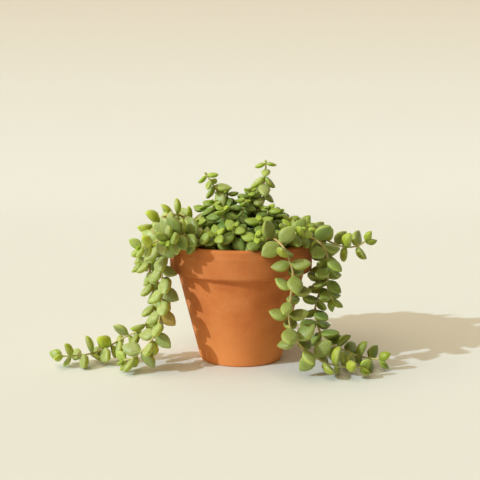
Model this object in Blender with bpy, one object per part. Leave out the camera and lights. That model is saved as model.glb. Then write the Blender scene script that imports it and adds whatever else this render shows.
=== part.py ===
"""A trailing succulent with fleshy leaves in pairs, in a terracotta pot filled with soil.

Every size is in millimetres until a mesh is made, which is in metres. The plant is laid out round the
pot's axis, with the pot's foot at height 0, and the whole part is then moved so that its origin is the
middle of its bounding box in plan. +X is the viewer's right and -Y is towards the viewer.
"""

import math
import random
from dataclasses import dataclass

import bmesh
import bpy
from mathutils import Matrix, Vector
from mathutils.bvhtree import BVHTree

MM = 0.001
GAP = 0.35
MERGE = 0.003

# The pot, a turned shape: rim band, tapering body and flat foot
POT_HEIGHT = 91.5
RIM_RADIUS = 55.0
BAND_HEIGHT = 22.0
BAND_TAPER = 0.6
BODY_TOP_RADIUS = 49.0
FOOT_RADIUS = 31.5
WALL = 6.0
FLOOR_FLARE = 2.0
FLOOR_THICKNESS = 8.0
DRAIN_RADIUS = 6.0
EDGE_ROUND = 1.4
POT_SIDES = 36

# The soil, a plug that fills the pot to just under the rim
SOIL_TOP = 82.0
SOIL_GAP = 0.45
SOIL_SIDES = 20
SOIL_RINGS = 3
SOIL_BUMP = 1.1
SOIL_SEED = 11

# Stems and the holes that they stand in
STEM_RADIUS = 1.15
STEM_TIP_RADIUS = 0.75
STEM_SIDES = 4
STEM_RING_SPACING = 12.0
ROOT_DEPTH = 9.0
ROOT_RISE = 3.0
HOLE_SIDES = 4
HOLE_RISE = 4.4
STEM_CLEARANCE = 3.2
TIP_LENGTH = 0.5

# A full-grown leaf, its sizes as shares of its length where no unit is named
LEAF_LENGTH = 16.0
LEAF_HALF_WIDTH = 0.345
LEAF_DEPTH = 0.30
LEAF_ROOT = -0.03
LEAF_RINGS = ((0.30, 0.92), (0.68, 0.86))
BUD_RINGS = ((0.42, 1.0),)
LEAF_SECTION = ((-1.0, 0.0), (1.0, 0.0), (0.0, -1.0))

# What differs from leaf to leaf: turn round the stem and opening in degrees, rise, and size as a share
TURN_JITTER = 16.0
OPENING_JITTER = (-8.0, 10.0)
LIFT_JITTER = 0.15
SIZE_JITTER = (0.88, 1.08)

# The tip pair opens fully once it is this far from the tip
OPENS_WITHIN = 9.0

# Near the root, pairs are closer together: this share of the full space, rising to all of it
CROWDED = 0.62
CROWDED_WITHIN = 75.0

# The pairs nearest the tip nest in each other, so they may touch
NESTED_PAIRS = 2

# Leaves face along the stem where it doesn't hang, away from the pot, the sky and the light
UP = Vector((0, 0, 1))
LIGHT = Vector((-0.55, -0.60, 0.58))
FACE_ALONG = 0.9
FACE_OUTWARD = 0.5
FACE_UP = 0.5
FACE_LIGHT = 0.6

# How far a leaf may be turned or shrunk to stand clear of its neighbours
TURNS = (0, 14, -14, 28, -28, 42, -42)
SHRINKS = (1.0, 0.86, 0.72)

# Stems that show one by one. Each route runs from where the stem leaves the crown to its tip
LONG_LEFT = ((-36, -2, 102), (-48, -6, 112), (-58, -10, 111), (-65, -14, 104), (-68, -16, 93),
             (-69, -18, 79), (-68, -19, 65), (-66, -20, 51), (-67, -21, 40), (-72, -22, 31),
             (-79, -22, 25), (-87, -20, 21), (-95, -18, 16), (-104, -19, 11), (-112, -24, 9),
             (-122, -29, 8.5), (-135, -33, 9))
FRONT_LEFT = ((-41, -20, 99), (-51, -26, 103), (-58, -30, 98), (-60, -33, 90), (-59, -34, 79),
              (-58, -35, 68), (-58, -36, 56), (-59, -38, 45), (-61, -42, 34), (-65, -45, 25),
              (-71, -46, 18), (-78, -46, 12), (-86, -45, 9))
SHORT_LEFT = ((-36, -30, 98), (-46, -41, 102), (-55, -51, 101), (-64, -57, 97), (-71, -61, 95))
HANGING_LEFT = ((-39, 8, 101), (-52, 10, 107), (-63, 7, 105), (-71, 3, 97), (-75, 0, 86), (-77, -2, 74))
FRONT_RIGHT = ((19, -41, 98), (25, -50, 99), (30.5, -57, 94), (34, -60, 87), (36, -61, 80), (37, -61, 72),
               (35.5, -61, 63), (34.5, -61, 54), (34, -62, 44), (36, -62, 35), (40, -62, 28),
               (45, -61, 22), (51, -60, 17), (58, -58, 12.5), (67, -57, 9), (77, -59, 8), (87, -60, 8))
SHADED_RIGHT = ((41, -7, 98), (51, -9, 99), (59, -11, 94), (62, -13, 83), (62, -15, 71), (59.5, -18, 56),
                (56, -21, 43), (57, -24, 32), (62, -28, 22), (69, -31, 17), (79, -32, 12.5),
                (90, -35, 9), (104, -40, 8.5))
HANGING_RIGHT = ((40, -24, 96), (51, -29, 98), (60, -33, 92), (64, -34, 81), (64, -35, 70), (64, -36, 60),
                 (68, -37, 52))
LEVEL_RIGHT = ((34, 10, 91), (46, 8, 95), (57, 5, 95.5), (69, 2, 90), (80, 0, 86.5), (90, 0, 87.5),
               (97, 0, 92))
TALL_LEFT = ((-9, 10, 108), (-15, 8, 124), (-19.5, 6, 131), (-23.5, 4, 137), (-26.5, 4, 142))
TALL_RIGHT = ((11, 8, 108), (13, 8, 118), (16, 8, 129), (18, 8, 137), (19, 8, 145), (19, 8, 151))
FACING_LEFT = ((-29, -38, 96), (-41, -47, 102), (-50, -55, 101), (-53, -59, 99))
FACING_RIGHT = ((30, -33, 95), (38, -39, 102), (43, -44, 104))
BACK_LONG = ((-14, 40, 99), (-15, 54, 104), (-14, 64, 98), (-13, 68, 86), (-12, 68, 70), (-11, 67, 54),
             (-10, 67, 38), (-9, 70, 24), (-7, 77, 13), (-3, 88, 9), (3, 100, 8.5))
BACK_MIDDLE = ((14, 40, 98), (16, 53, 104), (17, 63, 99), (18, 68, 88), (18, 69, 74), (17, 69, 60),
               (17, 70, 48))
BACK_SHORT = ((-32, 30, 98), (-40, 41, 103), (-46, 49, 97), (-48, 53, 86), (-49, 54, 74))


@dataclass(frozen=True)
class Habit:
    """How the leaves sit on one kind of stem.

    The steps and sizes are the spaces and sizes of the pairs next to the tip, as shares of the full
    ones, and the first pairs are buds. The narrow and wide angles are how far the tip pair and the
    grown pairs open from the stem. Where it hangs, the fold lays its outer leaves back along it.
    Sunward is how much the light and the open side turn a leaf's face. A leaf droops between the two
    shares of its length. The stem is bare up to the first leaf, and below the most pairs, where the
    leaves above hide it.
    """

    steps: tuple
    sizes: tuple
    buds: int
    narrow: float
    wide: float
    fold: float
    sunward: float
    droop: tuple
    first_leaf: float
    most_pairs: int


TRAILING = Habit(
    steps=(0.13, 0.75, 0.95), sizes=(0.38, 0.66, 0.92, 1.0), buds=2, narrow=32.0, wide=80.0,
    fold=1.3, sunward=0.35, droop=(-0.06, 0.09), first_leaf=16.0, most_pairs=60)
DRAPED = Habit(
    steps=(0.13, 0.75, 0.95), sizes=(0.42, 0.74, 0.96, 1.0), buds=2, narrow=36.0, wide=70.0,
    fold=0.5, sunward=0.9, droop=(0.0, 0.16), first_leaf=16.0, most_pairs=60)
UPRIGHT = Habit(
    steps=(0.85, 0.95, 1.0), sizes=(0.62, 0.66, 0.92, 1.0), buds=1, narrow=84.0, wide=102.0,
    fold=0.0, sunward=0.7, droop=(0.18, 0.34), first_leaf=12.0, most_pairs=7)
UNSEEN = Habit(
    steps=(0.13, 0.75, 0.95), sizes=(0.38, 0.66, 0.92, 1.0), buds=2, narrow=32.0, wide=76.0,
    fold=1.0, sunward=1.0, droop=(0.0, 0.14), first_leaf=18.0, most_pairs=60)
CROWNED = Habit(
    steps=(0.26, 0.50, 0.75), sizes=(0.50, 0.80, 0.95, 1.0), buds=1, narrow=55.0, wide=100.0,
    fold=0.0, sunward=1.7, droop=(0.12, 0.30), first_leaf=9.0, most_pairs=5)

# Name, root in the soil, route, habit, space between leaf pairs, leaf size, turn of the tip pair,
# lift and seed
ROUTED_STEMS = (
    ("stem_left_long", (-30, -2), LONG_LEFT, DRAPED, 8.2, 0.92, 80, -0.25, 1),
    ("stem_left_front", (-33, -17), FRONT_LEFT, DRAPED, 8.2, 0.94, 10, -0.25, 2),
    ("stem_left_short", (-27, -24), SHORT_LEFT, DRAPED, 7.6, 0.92, 45, -0.1, 3),
    ("stem_left_hanging", (-33, 8), HANGING_LEFT, DRAPED, 8.0, 0.92, 20, -0.25, 4),
    ("stem_right_front", (14, -34), FRONT_RIGHT, TRAILING, 9.5, 1.0, 10, 0.35, 5),
    ("stem_right_shaded", (34, -6), SHADED_RIGHT, TRAILING, 8.8, 0.98, 20, 0.0, 6),
    ("stem_right_hanging", (33, -19), HANGING_RIGHT, TRAILING, 8.6, 0.95, 30, -0.2, 7),
    ("stem_right_level", (30, 9), LEVEL_RIGHT, TRAILING, 9.2, 1.0, 45, 0.0, 8),
    ("stem_top_left", (-6, 10), TALL_LEFT, UPRIGHT, 5.8, 0.92, 75, -0.10, 9),
    ("stem_top_right", (9, 8), TALL_RIGHT, UPRIGHT, 5.8, 0.90, -8, -0.10, 10),
    ("stem_left_facing", (-18, -31), FACING_LEFT, DRAPED, 7.4, 0.92, 20, -0.2, 15),
    ("stem_right_facing", (24, -27), FACING_RIGHT, TRAILING, 8.0, 1.05, 60, -0.2, 16),
    ("stem_back_long", (-12, 31), BACK_LONG, UNSEEN, 12.0, 1.0, 45, -0.3, 12),
    ("stem_back_middle", (12, 31), BACK_MIDDLE, UNSEEN, 12.0, 1.0, 30, -0.3, 13),
    ("stem_back_short", (-26, 24), BACK_SHORT, UNSEEN, 12.0, 1.0, 30, -0.3, 14),
)

# Crown stems, set in a spiral over the soil and leaning out as they near the rim
CROWN_STEMS = 28
CROWN_RADIUS = 41.5
CROWN_LEAN = 1.34
CROWN_LEAN_JITTER = 0.06
CROWN_BEND = 0.55
CROWN_EDGE_HEIGHT = 101.5
CROWN_DOME = 28.0
CROWN_HEIGHT_JITTER = (-2, 3)
CROWN_MIDDLE_LEAF = 0.76
CROWN_EDGE_LEAF = 0.96
CROWN_SPACING = 6.6
CROWN_LIFT = -0.20
CROWN_SEED = 77
CROWN_LEAF_SEED = 127
CROWN_SHIFTS = (0, 6, -6, 12, -12, 18, -18, 24, -24, 30, -30, 40, -40)
GOLDEN_ANGLE = 137.508
FLOOR_CLEARANCE = 0.5

TERRACOTTA = ("terracotta", (0.58, 0.22, 0.07), 0.85)
SOIL = ("potting_soil", (0.045, 0.03, 0.02), 0.95)
LEAF_GREEN = ("fleshy_leaf", (0.22, 0.36, 0.07), 0.5)


class Route:
    """A stem's centre line: a smooth curve through its points, with a side direction along it."""

    STEP = 1.0
    STEEP = 0.2

    def __init__(self, through):
        knots = [Vector(point) for point in through]
        self.points = [knots[0]]
        slopes = self.slopes_at(knots)
        for start, end, leave, arrive in zip(knots, knots[1:], slopes, slopes[1:]):
            chord = (end - start).length
            count = max(1, round(chord / self.STEP))
            for n in range(1, count + 1):
                t = n / count
                self.points.append(
                    start * (2 * t**3 - 3 * t**2 + 1) + end * (3 * t**2 - 2 * t**3)
                    + leave * (chord * (t**3 - 2 * t**2 + t)) + arrive * (chord * (t**3 - t**2)))
        self.reach = [0.0]
        for start, end in zip(self.points, self.points[1:]):
            self.reach.append(self.reach[-1] + (end - start).length)
        self.length = self.reach[-1]
        self.sides = self.sides_from_tip()

    @staticmethod
    def slopes_at(knots):
        """The curve's direction at each of its points, from the chords on both sides."""
        chords = [end - start for start, end in zip(knots, knots[1:])]
        slopes = [chords[0].normalized()]
        for before, after in zip(chords, chords[1:]):
            blend = before.normalized() * after.length + after.normalized() * before.length
            slopes.append(blend / (before.length + after.length))
        slopes.append(chords[-1].normalized())
        return slopes

    def along(self, n):
        """The unit direction of growth at point n."""
        before = self.points[max(n - 1, 0)]
        after = self.points[min(n + 1, len(self.points) - 1)]
        return (after - before).normalized()

    def sides_from_tip(self):
        """A side direction at each point, level at the tip and carried back without twist."""
        along = self.along(len(self.points) - 1)
        side = along.cross(UP)
        if side.length < self.STEEP:
            side = along.cross(Vector((0, -1, 0)))
        sides = []
        for n in reversed(range(len(self.points))):
            along = self.along(n)
            side = (side - along * side.dot(along)).normalized()
            sides.append(side)
        return sides[::-1]

    def at(self, distance):
        """Place, direction of growth and side at a distance from the root."""
        n = 0
        while n < len(self.reach) - 2 and self.reach[n + 1] < distance:
            n += 1
        share = (distance - self.reach[n]) / (self.reach[n + 1] - self.reach[n])
        share = min(max(share, 0.0), 1.0)
        place = self.points[n].lerp(self.points[n + 1], share)
        return place, self.along(n), self.sides[n]


class Room:
    """The solids placed so far, asked whether one more would touch them."""

    def __init__(self):
        self.taken = []

    def add(self, owner, points, faces):
        middle = sum(points, Vector()) / len(points)
        radius = max((point - middle).length for point in points)
        self.taken.append((owner, middle, radius, BVHTree.FromPolygons(points, faces)))

    def touches(self, owner, points, faces, own_faces):
        """True if the shape meets another owner's solid, or its own_faces meet its own stem's leaves."""
        middle = sum(points, Vector()) / len(points)
        radius = max((point - middle).length for point in points)
        whole = None
        outer = None
        for other, centre, reach, tree in self.taken:
            if (centre - middle).length > radius + reach:
                continue
            if other == owner:
                if not own_faces:
                    continue
                outer = outer or BVHTree.FromPolygons(points, own_faces)
                if tree.overlap(outer):
                    return True
            else:
                whole = whole or BVHTree.FromPolygons(points, faces)
                if tree.overlap(whole):
                    return True
        return False


def turned(profile, sides):
    """Points and faces of a closed profile of (radius, height) turned about the Z axis."""
    points = []
    faces = []
    count = len(profile)
    for n in range(sides):
        angle = 2 * math.pi * n / sides
        for radius, height in profile:
            points.append(Vector((radius * math.cos(angle), radius * math.sin(angle), height)))
    for n in range(sides):
        here = n * count
        there = (n + 1) % sides * count
        for k in range(count):
            m = (k + 1) % count
            faces.append((here + k, there + k, there + m, here + m))
    return points, faces


def tube(route):
    """Points and faces of a stem, a closed tube along a route that gets slimmer towards the tip."""
    sides = STEM_SIDES
    rings = max(2, round(route.length / STEM_RING_SPACING) + 1)
    points = []
    faces = [tuple(reversed(range(sides)))]
    for n in range(rings):
        distance = route.length * n / (rings - 1)
        place, along, side = route.at(distance)
        over = along.cross(side)
        share = distance / route.length
        size = STEM_RADIUS + (STEM_TIP_RADIUS - STEM_RADIUS) * share
        for k in range(sides):
            angle = 2 * math.pi * k / sides
            points.append(place + (side * math.cos(angle) + over * math.sin(angle)) * size)
        if n:
            for k in range(sides):
                m = (k + 1) % sides
                base = (n - 1) * sides
                faces.append((base + k, base + m, base + sides + m, base + sides + k))
    faces.append(tuple(range((rings - 1) * sides, rings * sides)))
    return points, faces


def leaf_shape(leaf, margin=0.0, plain=False):
    """Points and faces of one fleshy leaf, made larger all round by a margin. A plain one has one ring."""
    rings = BUD_RINGS if leaf["bud"] or plain else LEAF_RINGS
    length = leaf["length"]
    across = leaf["out"].cross(leaf["face"])
    corners = len(LEAF_SECTION)
    points = [leaf["place"] + leaf["out"] * (LEAF_ROOT * length)]
    for share, width in rings:
        middle = leaf["place"] + leaf["out"] * (share * length)
        middle = middle - leaf["face"] * (leaf["droop"] * share * share * length)
        for side, height in LEAF_SECTION:
            sideways = side * (width * LEAF_HALF_WIDTH * length + margin)
            upwards = height * (width * LEAF_DEPTH * length + margin) if height else margin
            points.append(middle + across * sideways + leaf["face"] * upwards)
    points.append(leaf["place"] + leaf["out"] * (length + margin) - leaf["face"] * (leaf["droop"] * length))
    tip = len(points) - 1
    faces = [(0, k + 1, (k + 1) % corners + 1) for k in range(corners)]
    for n in range(len(rings) - 1):
        for k in range(corners):
            m = (k + 1) % corners
            base = n * corners + 1
            faces.append((base + k, base + corners + k, base + corners + m, base + m))
    faces += [(tip - corners + k, tip, tip - corners + (k + 1) % corners) for k in range(corners)]
    return points, faces


def leaf_pairs(route, habit, spacing, size):
    """Distance from the root, size and bud flag of each leaf pair, from the tip back."""
    distance = route.length - TIP_LENGTH
    pairs = []
    while distance > ROOT_DEPTH + habit.first_leaf and len(pairs) < habit.most_pairs:
        n = len(pairs)
        pairs.append((distance, size * habit.sizes[min(n, len(habit.sizes) - 1)], n < habit.buds))
        closer = CROWDED + (1 - CROWDED) * min(1.0, distance / CROWDED_WITHIN)
        distance -= spacing * closer * (habit.steps[n] if n < len(habit.steps) else 1.0)
    return pairs


def leaf_pose(stem, n, half, draw):
    """One leaf of pair n as it grows: out from the stem, face to the tip, both lifted to the light."""
    habit = stem["habit"]
    distance, size, bud = stem["pairs"][n]
    place, along, side = stem["route"].at(distance)
    over = along.cross(side)
    jitter = draw.uniform(-TURN_JITTER, TURN_JITTER)
    angle = math.radians(stem["turn"] + 90 * n + 180 * half + jitter)
    away = side * math.cos(angle) + over * math.sin(angle)
    spread = min(1.0, (stem["route"].length - distance) / OPENS_WITHIN)
    opening = habit.narrow + (habit.wide - habit.narrow) * spread + draw.uniform(*OPENING_JITTER)
    opening = math.radians(opening)
    hanging = max(0.0, -along.z)
    outward = Vector((place.x, place.y, 0))
    folded = habit.fold * hanging * max(0.0, away.dot(outward.normalized()))**2
    out = along * (math.cos(opening) + folded) + away * math.sin(opening)
    out = out + UP * (stem["lift"] * spread + draw.uniform(-LIFT_JITTER, LIFT_JITTER))
    out.normalize()
    open_side = outward * (FACE_OUTWARD / RIM_RADIUS) + LIGHT * FACE_LIGHT
    faced = along * ((1 - hanging) * FACE_ALONG) + UP * FACE_UP + open_side * habit.sunward
    face = (faced - out * faced.dot(out)).normalized()
    grown = LEAF_LENGTH * size * draw.uniform(*SIZE_JITTER)
    droop = draw.uniform(*habit.droop)
    return {"place": place, "out": out, "face": face, "length": grown, "droop": droop, "bud": bud}


def turned_leaf(leaf, lift, swing, shrink):
    """The leaf lifted about its own width, swung about its stem side and made smaller."""
    across = leaf["out"].cross(leaf["face"])
    rotation = Matrix.Rotation(math.radians(swing), 3, leaf["face"])
    rotation = Matrix.Rotation(math.radians(lift), 3, across) @ rotation
    changed = dict(leaf)
    changed["out"] = rotation @ leaf["out"]
    changed["face"] = rotation @ leaf["face"]
    changed["length"] = leaf["length"] * shrink
    return changed


def leaf_tries():
    """Turns and shrinks for a leaf that doesn't fit as it grows, the smallest changes first."""
    tries = [(abs(lift) + abs(swing) + 90 * (1 - shrink), lift, swing, shrink)
             for lift in TURNS for swing in TURNS for shrink in SHRINKS]
    return [entry[1:] for entry in sorted(tries)]


def place_leaves(stem, room):
    """Give a stem its leaves, each turned or shrunk until it stands clear, from the tip back."""
    draw = random.Random(stem["seed"])
    corners = len(LEAF_SECTION)
    for n in range(len(stem["pairs"])):
        for half in (0, 1):
            grown = leaf_pose(stem, n, half, draw)
            for lift, swing, shrink in leaf_tries():
                leaf = turned_leaf(grown, lift, swing, shrink)
                points, faces = leaf_shape(leaf, GAP)
                own_faces = [] if n < NESTED_PAIRS else faces[corners:]
                if min(point.z for point in points) < FLOOR_CLEARANCE:
                    continue
                if room.touches(stem["name"], points, faces, own_faces):
                    continue
                stem["leaves"].append(leaf)
                room.add(stem["name"], *leaf_shape(leaf))
                break


def routed_stem(name, root, route, habit, spacing, size, turn, lift, seed):
    """A stem whose route is chosen by hand, rising straight out of its hole first."""
    x, y = root
    straight = ((x, y, SOIL_TOP - ROOT_DEPTH), (x, y, SOIL_TOP), (x, y, SOIL_TOP + ROOT_RISE))
    path = Route(straight + route)
    return {"name": name, "root": root, "route": path, "habit": habit, "turn": turn, "lift": lift,
            "seed": seed, "leaves": [], "pairs": leaf_pairs(path, habit, spacing, size)}


def crown_stem(n, others):
    """Crown stem n, set where its line keeps clear of the stems already there."""
    draw = random.Random(CROWN_SEED + n)
    share = math.sqrt((n + 0.5) / CROWN_STEMS)
    radius = CROWN_RADIUS * share
    height = CROWN_EDGE_HEIGHT + CROWN_DOME * (1 - share**2)**2 + draw.uniform(*CROWN_HEIGHT_JITTER)
    size = CROWN_MIDDLE_LEAF + (CROWN_EDGE_LEAF - CROWN_MIDDLE_LEAF) * share**2
    lean = CROWN_LEAN + draw.uniform(-CROWN_LEAN_JITTER, CROWN_LEAN_JITTER)
    bent = 1 + (lean - 1) * CROWN_BEND
    for shift in CROWN_SHIFTS:
        angle = math.radians(n * GOLDEN_ANGLE + shift)
        x = radius * math.cos(angle)
        y = radius * math.sin(angle)
        route = Route((
            (x, y, SOIL_TOP - ROOT_DEPTH), (x, y, SOIL_TOP), (x, y, SOIL_TOP + ROOT_RISE),
            (x * bent, y * bent, SOIL_TOP + (height - SOIL_TOP) * CROWN_BEND), (x * lean, y * lean, height)))
        if all(apart(route, other["route"]) > STEM_CLEARANCE for other in others):
            break
    else:
        return None
    return {"name": f"stem_crown_{n + 1:02d}", "root": (x, y), "route": route, "habit": CROWNED,
            "turn": draw.uniform(0, 90), "lift": CROWN_LIFT, "seed": CROWN_LEAF_SEED + n, "leaves": [],
            "pairs": leaf_pairs(route, CROWNED, CROWN_SPACING, size)}


def apart(route, other):
    """The least distance between two routes, point to point."""
    return min((here - there).length for here in route.points[::3] for there in other.points[::2])


def pot_profile():
    """The pot's wall as a closed profile: under the foot, up the outside and down the inside."""
    band_bottom = POT_HEIGHT - BAND_HEIGHT
    inner_rim = RIM_RADIUS - WALL
    return (
        (DRAIN_RADIUS, 0.0),
        (FOOT_RADIUS - EDGE_ROUND, 0.0),
        (FOOT_RADIUS, EDGE_ROUND),
        (BODY_TOP_RADIUS, band_bottom),
        (RIM_RADIUS - BAND_TAPER - EDGE_ROUND, band_bottom),
        (RIM_RADIUS - BAND_TAPER, band_bottom + EDGE_ROUND),
        (RIM_RADIUS, POT_HEIGHT - EDGE_ROUND),
        (RIM_RADIUS - EDGE_ROUND, POT_HEIGHT),
        (inner_rim + EDGE_ROUND / 2, POT_HEIGHT),
        (inner_rim, POT_HEIGHT - EDGE_ROUND),
        (inner_radius(FLOOR_THICKNESS), FLOOR_THICKNESS),
        (DRAIN_RADIUS, FLOOR_THICKNESS),
    )


def inner_radius(height):
    """Radius of the pot's straight inner wall at a height."""
    floor_radius = FOOT_RADIUS - WALL + FLOOR_FLARE
    share = (height - FLOOR_THICKNESS) / (POT_HEIGHT - EDGE_ROUND - FLOOR_THICKNESS)
    return floor_radius + (RIM_RADIUS - WALL - floor_radius) * share


def soil_shape():
    """Points and faces of the soil: a tapering plug with a crumbly, slightly crowned top."""
    draw = random.Random(SOIL_SEED)
    bottom = FLOOR_THICKNESS + SOIL_GAP
    edge = inner_radius(SOIL_TOP) - SOIL_GAP
    rows = [(inner_radius(bottom) - SOIL_GAP, bottom, 0.0), (edge, SOIL_TOP, 0.0)]
    for n in range(1, SOIL_RINGS):
        share = 1 - n / SOIL_RINGS
        rows.append((share * inner_radius(SOIL_TOP), SOIL_TOP, SOIL_BUMP))
    points = []
    faces = [tuple(reversed(range(SOIL_SIDES)))]
    for radius, height, bump in rows:
        for k in range(SOIL_SIDES):
            angle = 2 * math.pi * k / SOIL_SIDES
            lift = draw.uniform(-bump, bump)
            points.append(Vector((radius * math.cos(angle), radius * math.sin(angle), height + lift)))
    for n in range(len(rows) - 1):
        for k in range(SOIL_SIDES):
            m = (k + 1) % SOIL_SIDES
            base = n * SOIL_SIDES
            faces.append((base + k, base + m, base + SOIL_SIDES + m, base + SOIL_SIDES + k))
    top = len(points)
    points.append(Vector((0, 0, SOIL_TOP + SOIL_BUMP)))
    for k in range(SOIL_SIDES):
        base = (len(rows) - 1) * SOIL_SIDES
        faces.append((base + k, base + (k + 1) % SOIL_SIDES, top))
    return points, faces


def hole_shape(root):
    """Points and faces of the plain hole that a stem stands in."""
    radius = (STEM_RADIUS + GAP) / math.cos(math.pi / HOLE_SIDES)
    points = []
    for height in (SOIL_TOP - ROOT_DEPTH - GAP, SOIL_TOP + HOLE_RISE):
        for k in range(HOLE_SIDES):
            angle = 2 * math.pi * k / HOLE_SIDES
            x = root[0] + radius * math.cos(angle)
            y = root[1] + radius * math.sin(angle)
            points.append(Vector((x, y, height)))
    faces = [tuple(reversed(range(HOLE_SIDES))), tuple(range(HOLE_SIDES, 2 * HOLE_SIDES))]
    for k in range(HOLE_SIDES):
        m = (k + 1) % HOLE_SIDES
        faces.append((k, m, HOLE_SIDES + m, HOLE_SIDES + k))
    return points, faces


def material(look):
    """A Principled material from a name, a linear colour and a roughness."""
    name, colour, roughness = look
    made = bpy.data.materials.get(name) or bpy.data.materials.new(name)
    made.use_nodes = True
    shader = made.node_tree.nodes["Principled BSDF"]
    shader.inputs["Base Color"].default_value = (*colour, 1.0)
    shader.inputs["Roughness"].default_value = roughness
    return made


def new_object(name, shape, look):
    """An object of a shape in millimetres, linked to the scene."""
    points, faces = shape
    mesh = bpy.data.meshes.new(name)
    mesh.from_pydata([point * MM for point in points], [], faces)
    mesh.materials.append(material(look))
    made = bpy.data.objects.new(name, mesh)
    bpy.context.scene.collection.objects.link(made)
    return made


def joined(target, shapes, look, operation):
    """Join shapes to the target, or cut them from it, in one Boolean on a collection."""
    tools = bpy.data.collections.new(target.name + "_tools")
    bpy.context.scene.collection.children.link(tools)
    for n, shape in enumerate(shapes):
        tool = new_object(f"{target.name}_tool_{n}", shape, look)
        bpy.context.scene.collection.objects.unlink(tool)
        tools.objects.link(tool)
    boolean = target.modifiers.new("join", "BOOLEAN")
    boolean.operation = operation
    boolean.operand_type = "COLLECTION"
    boolean.collection = tools
    boolean.solver = "EXACT"
    graph = bpy.context.evaluated_depsgraph_get()
    mesh = bpy.data.meshes.new_from_object(target.evaluated_get(graph))
    target.modifiers.remove(boolean)
    target.data = mesh
    for tool in list(tools.objects):
        bpy.data.objects.remove(tool)
    bpy.data.collections.remove(tools)
    clean(mesh)


def clean(mesh):
    """Merge what fusing left in one place, split into triangles, and drop scraps, flaps and hollows."""
    shape = bmesh.new()
    shape.from_mesh(mesh)
    bmesh.ops.remove_doubles(shape, verts=shape.verts, dist=MERGE * MM)
    bmesh.ops.dissolve_degenerate(shape, edges=shape.edges, dist=MERGE * MM)
    bmesh.ops.triangulate(shape, faces=shape.faces)
    bodies = []
    unseen = set(shape.faces)
    while unseen:
        start = unseen.pop()
        body = [start]
        for face in body:
            for edge in face.edges:
                neighbours = edge.link_faces if len(edge.link_faces) == 2 else ()
                for neighbour in neighbours:
                    if neighbour in unseen:
                        unseen.discard(neighbour)
                        body.append(neighbour)
        bodies.append(body)
    bodies.sort(key=len)
    scraps = [face for body in bodies[:-1] for face in body]
    bmesh.ops.delete(shape, geom=scraps, context="FACES")
    loose = [edge for edge in shape.edges if not edge.link_faces]
    bmesh.ops.delete(shape, geom=loose, context="EDGES")
    shape.to_mesh(mesh)
    shape.free()


def main():
    for old in list(bpy.data.objects):
        bpy.data.objects.remove(old)

    pot_shape = turned(pot_profile(), POT_SIDES)
    stems = [routed_stem(*entry) for entry in ROUTED_STEMS]
    for n in range(CROWN_STEMS):
        stem = crown_stem(n, stems)
        if stem:
            stems.append(stem)

    room = Room()
    room.add("pot", *pot_shape)
    room.add("soil", *soil_shape())
    for stem in stems:
        stem["tube"] = tube(stem["route"])
        room.add(stem["name"], *stem["tube"])
    for stem in stems:
        place_leaves(stem, room)

    made = [new_object("pot", pot_shape, TERRACOTTA)]
    soil = new_object("soil", soil_shape(), SOIL)
    joined(soil, [hole_shape(stem["root"]) for stem in stems], SOIL, "DIFFERENCE")
    made.append(soil)
    for stem in stems:
        node = new_object(stem["name"], stem["tube"], LEAF_GREEN)
        plain = stem["habit"] in (CROWNED, UNSEEN)
        joined(node, [leaf_shape(leaf, plain=plain) for leaf in stem["leaves"]], LEAF_GREEN, "UNION")
        made.append(node)
    centre_on_origin(made)


def centre_on_origin(made):
    """Move every mesh so that the origin is the middle of the part's box in plan."""
    points = [vertex.co for node in made for vertex in node.data.vertices]
    shift = Vector((
        -(min(p.x for p in points) + max(p.x for p in points)) / 2,
        -(min(p.y for p in points) + max(p.y for p in points)) / 2,
        0.0))
    for node in made:
        node.data.transform(Matrix.Translation(shift))


main()
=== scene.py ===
"""Looks of a trailing succulent in a terracotta pot, built round its CAD frame.

The plant is laid out in millimetres round the pot's axis, with the pot's foot at height 0, by the same
rule and the same draws as the CAD source, so each fine leaf grows where its CAD leaf stands. +X is the
viewer's right and -Y is towards the viewer. Finished meshes are in metres, in the row frame.
"""

import logging
import math
import random
from dataclasses import dataclass, field, replace
from enum import Enum

import bpy
from mathutils import Matrix, Vector, noise
from mathutils.bvhtree import BVHTree

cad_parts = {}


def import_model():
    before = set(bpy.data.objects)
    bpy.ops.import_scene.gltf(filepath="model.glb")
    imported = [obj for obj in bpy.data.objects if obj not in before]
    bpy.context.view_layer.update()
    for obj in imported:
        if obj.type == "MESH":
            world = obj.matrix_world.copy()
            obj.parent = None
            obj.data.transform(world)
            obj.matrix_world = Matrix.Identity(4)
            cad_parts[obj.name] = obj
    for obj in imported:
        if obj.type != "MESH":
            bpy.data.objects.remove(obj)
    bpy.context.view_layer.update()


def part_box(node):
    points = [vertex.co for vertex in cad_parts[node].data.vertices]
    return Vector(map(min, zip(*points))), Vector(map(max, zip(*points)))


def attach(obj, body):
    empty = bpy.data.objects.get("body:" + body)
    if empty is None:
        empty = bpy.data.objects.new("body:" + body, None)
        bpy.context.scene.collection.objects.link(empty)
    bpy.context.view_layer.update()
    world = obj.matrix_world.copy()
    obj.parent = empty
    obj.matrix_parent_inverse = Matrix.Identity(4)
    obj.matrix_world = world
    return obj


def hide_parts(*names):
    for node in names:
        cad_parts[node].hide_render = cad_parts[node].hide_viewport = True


MM = 0.001
UP = Vector((0, 0, 1))
BODY = "root"
LOG = logging.getLogger("succulent")

# The sockets of a colour mix, by number because those of its other kinds have the same names
MIX_SHARE = 0
MIX_UNDER = 6
MIX_OVER = 7
MIXED = 2

Shape = tuple[list[Vector], list[tuple[int, ...]]]
Point = tuple[float, float, float]

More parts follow.
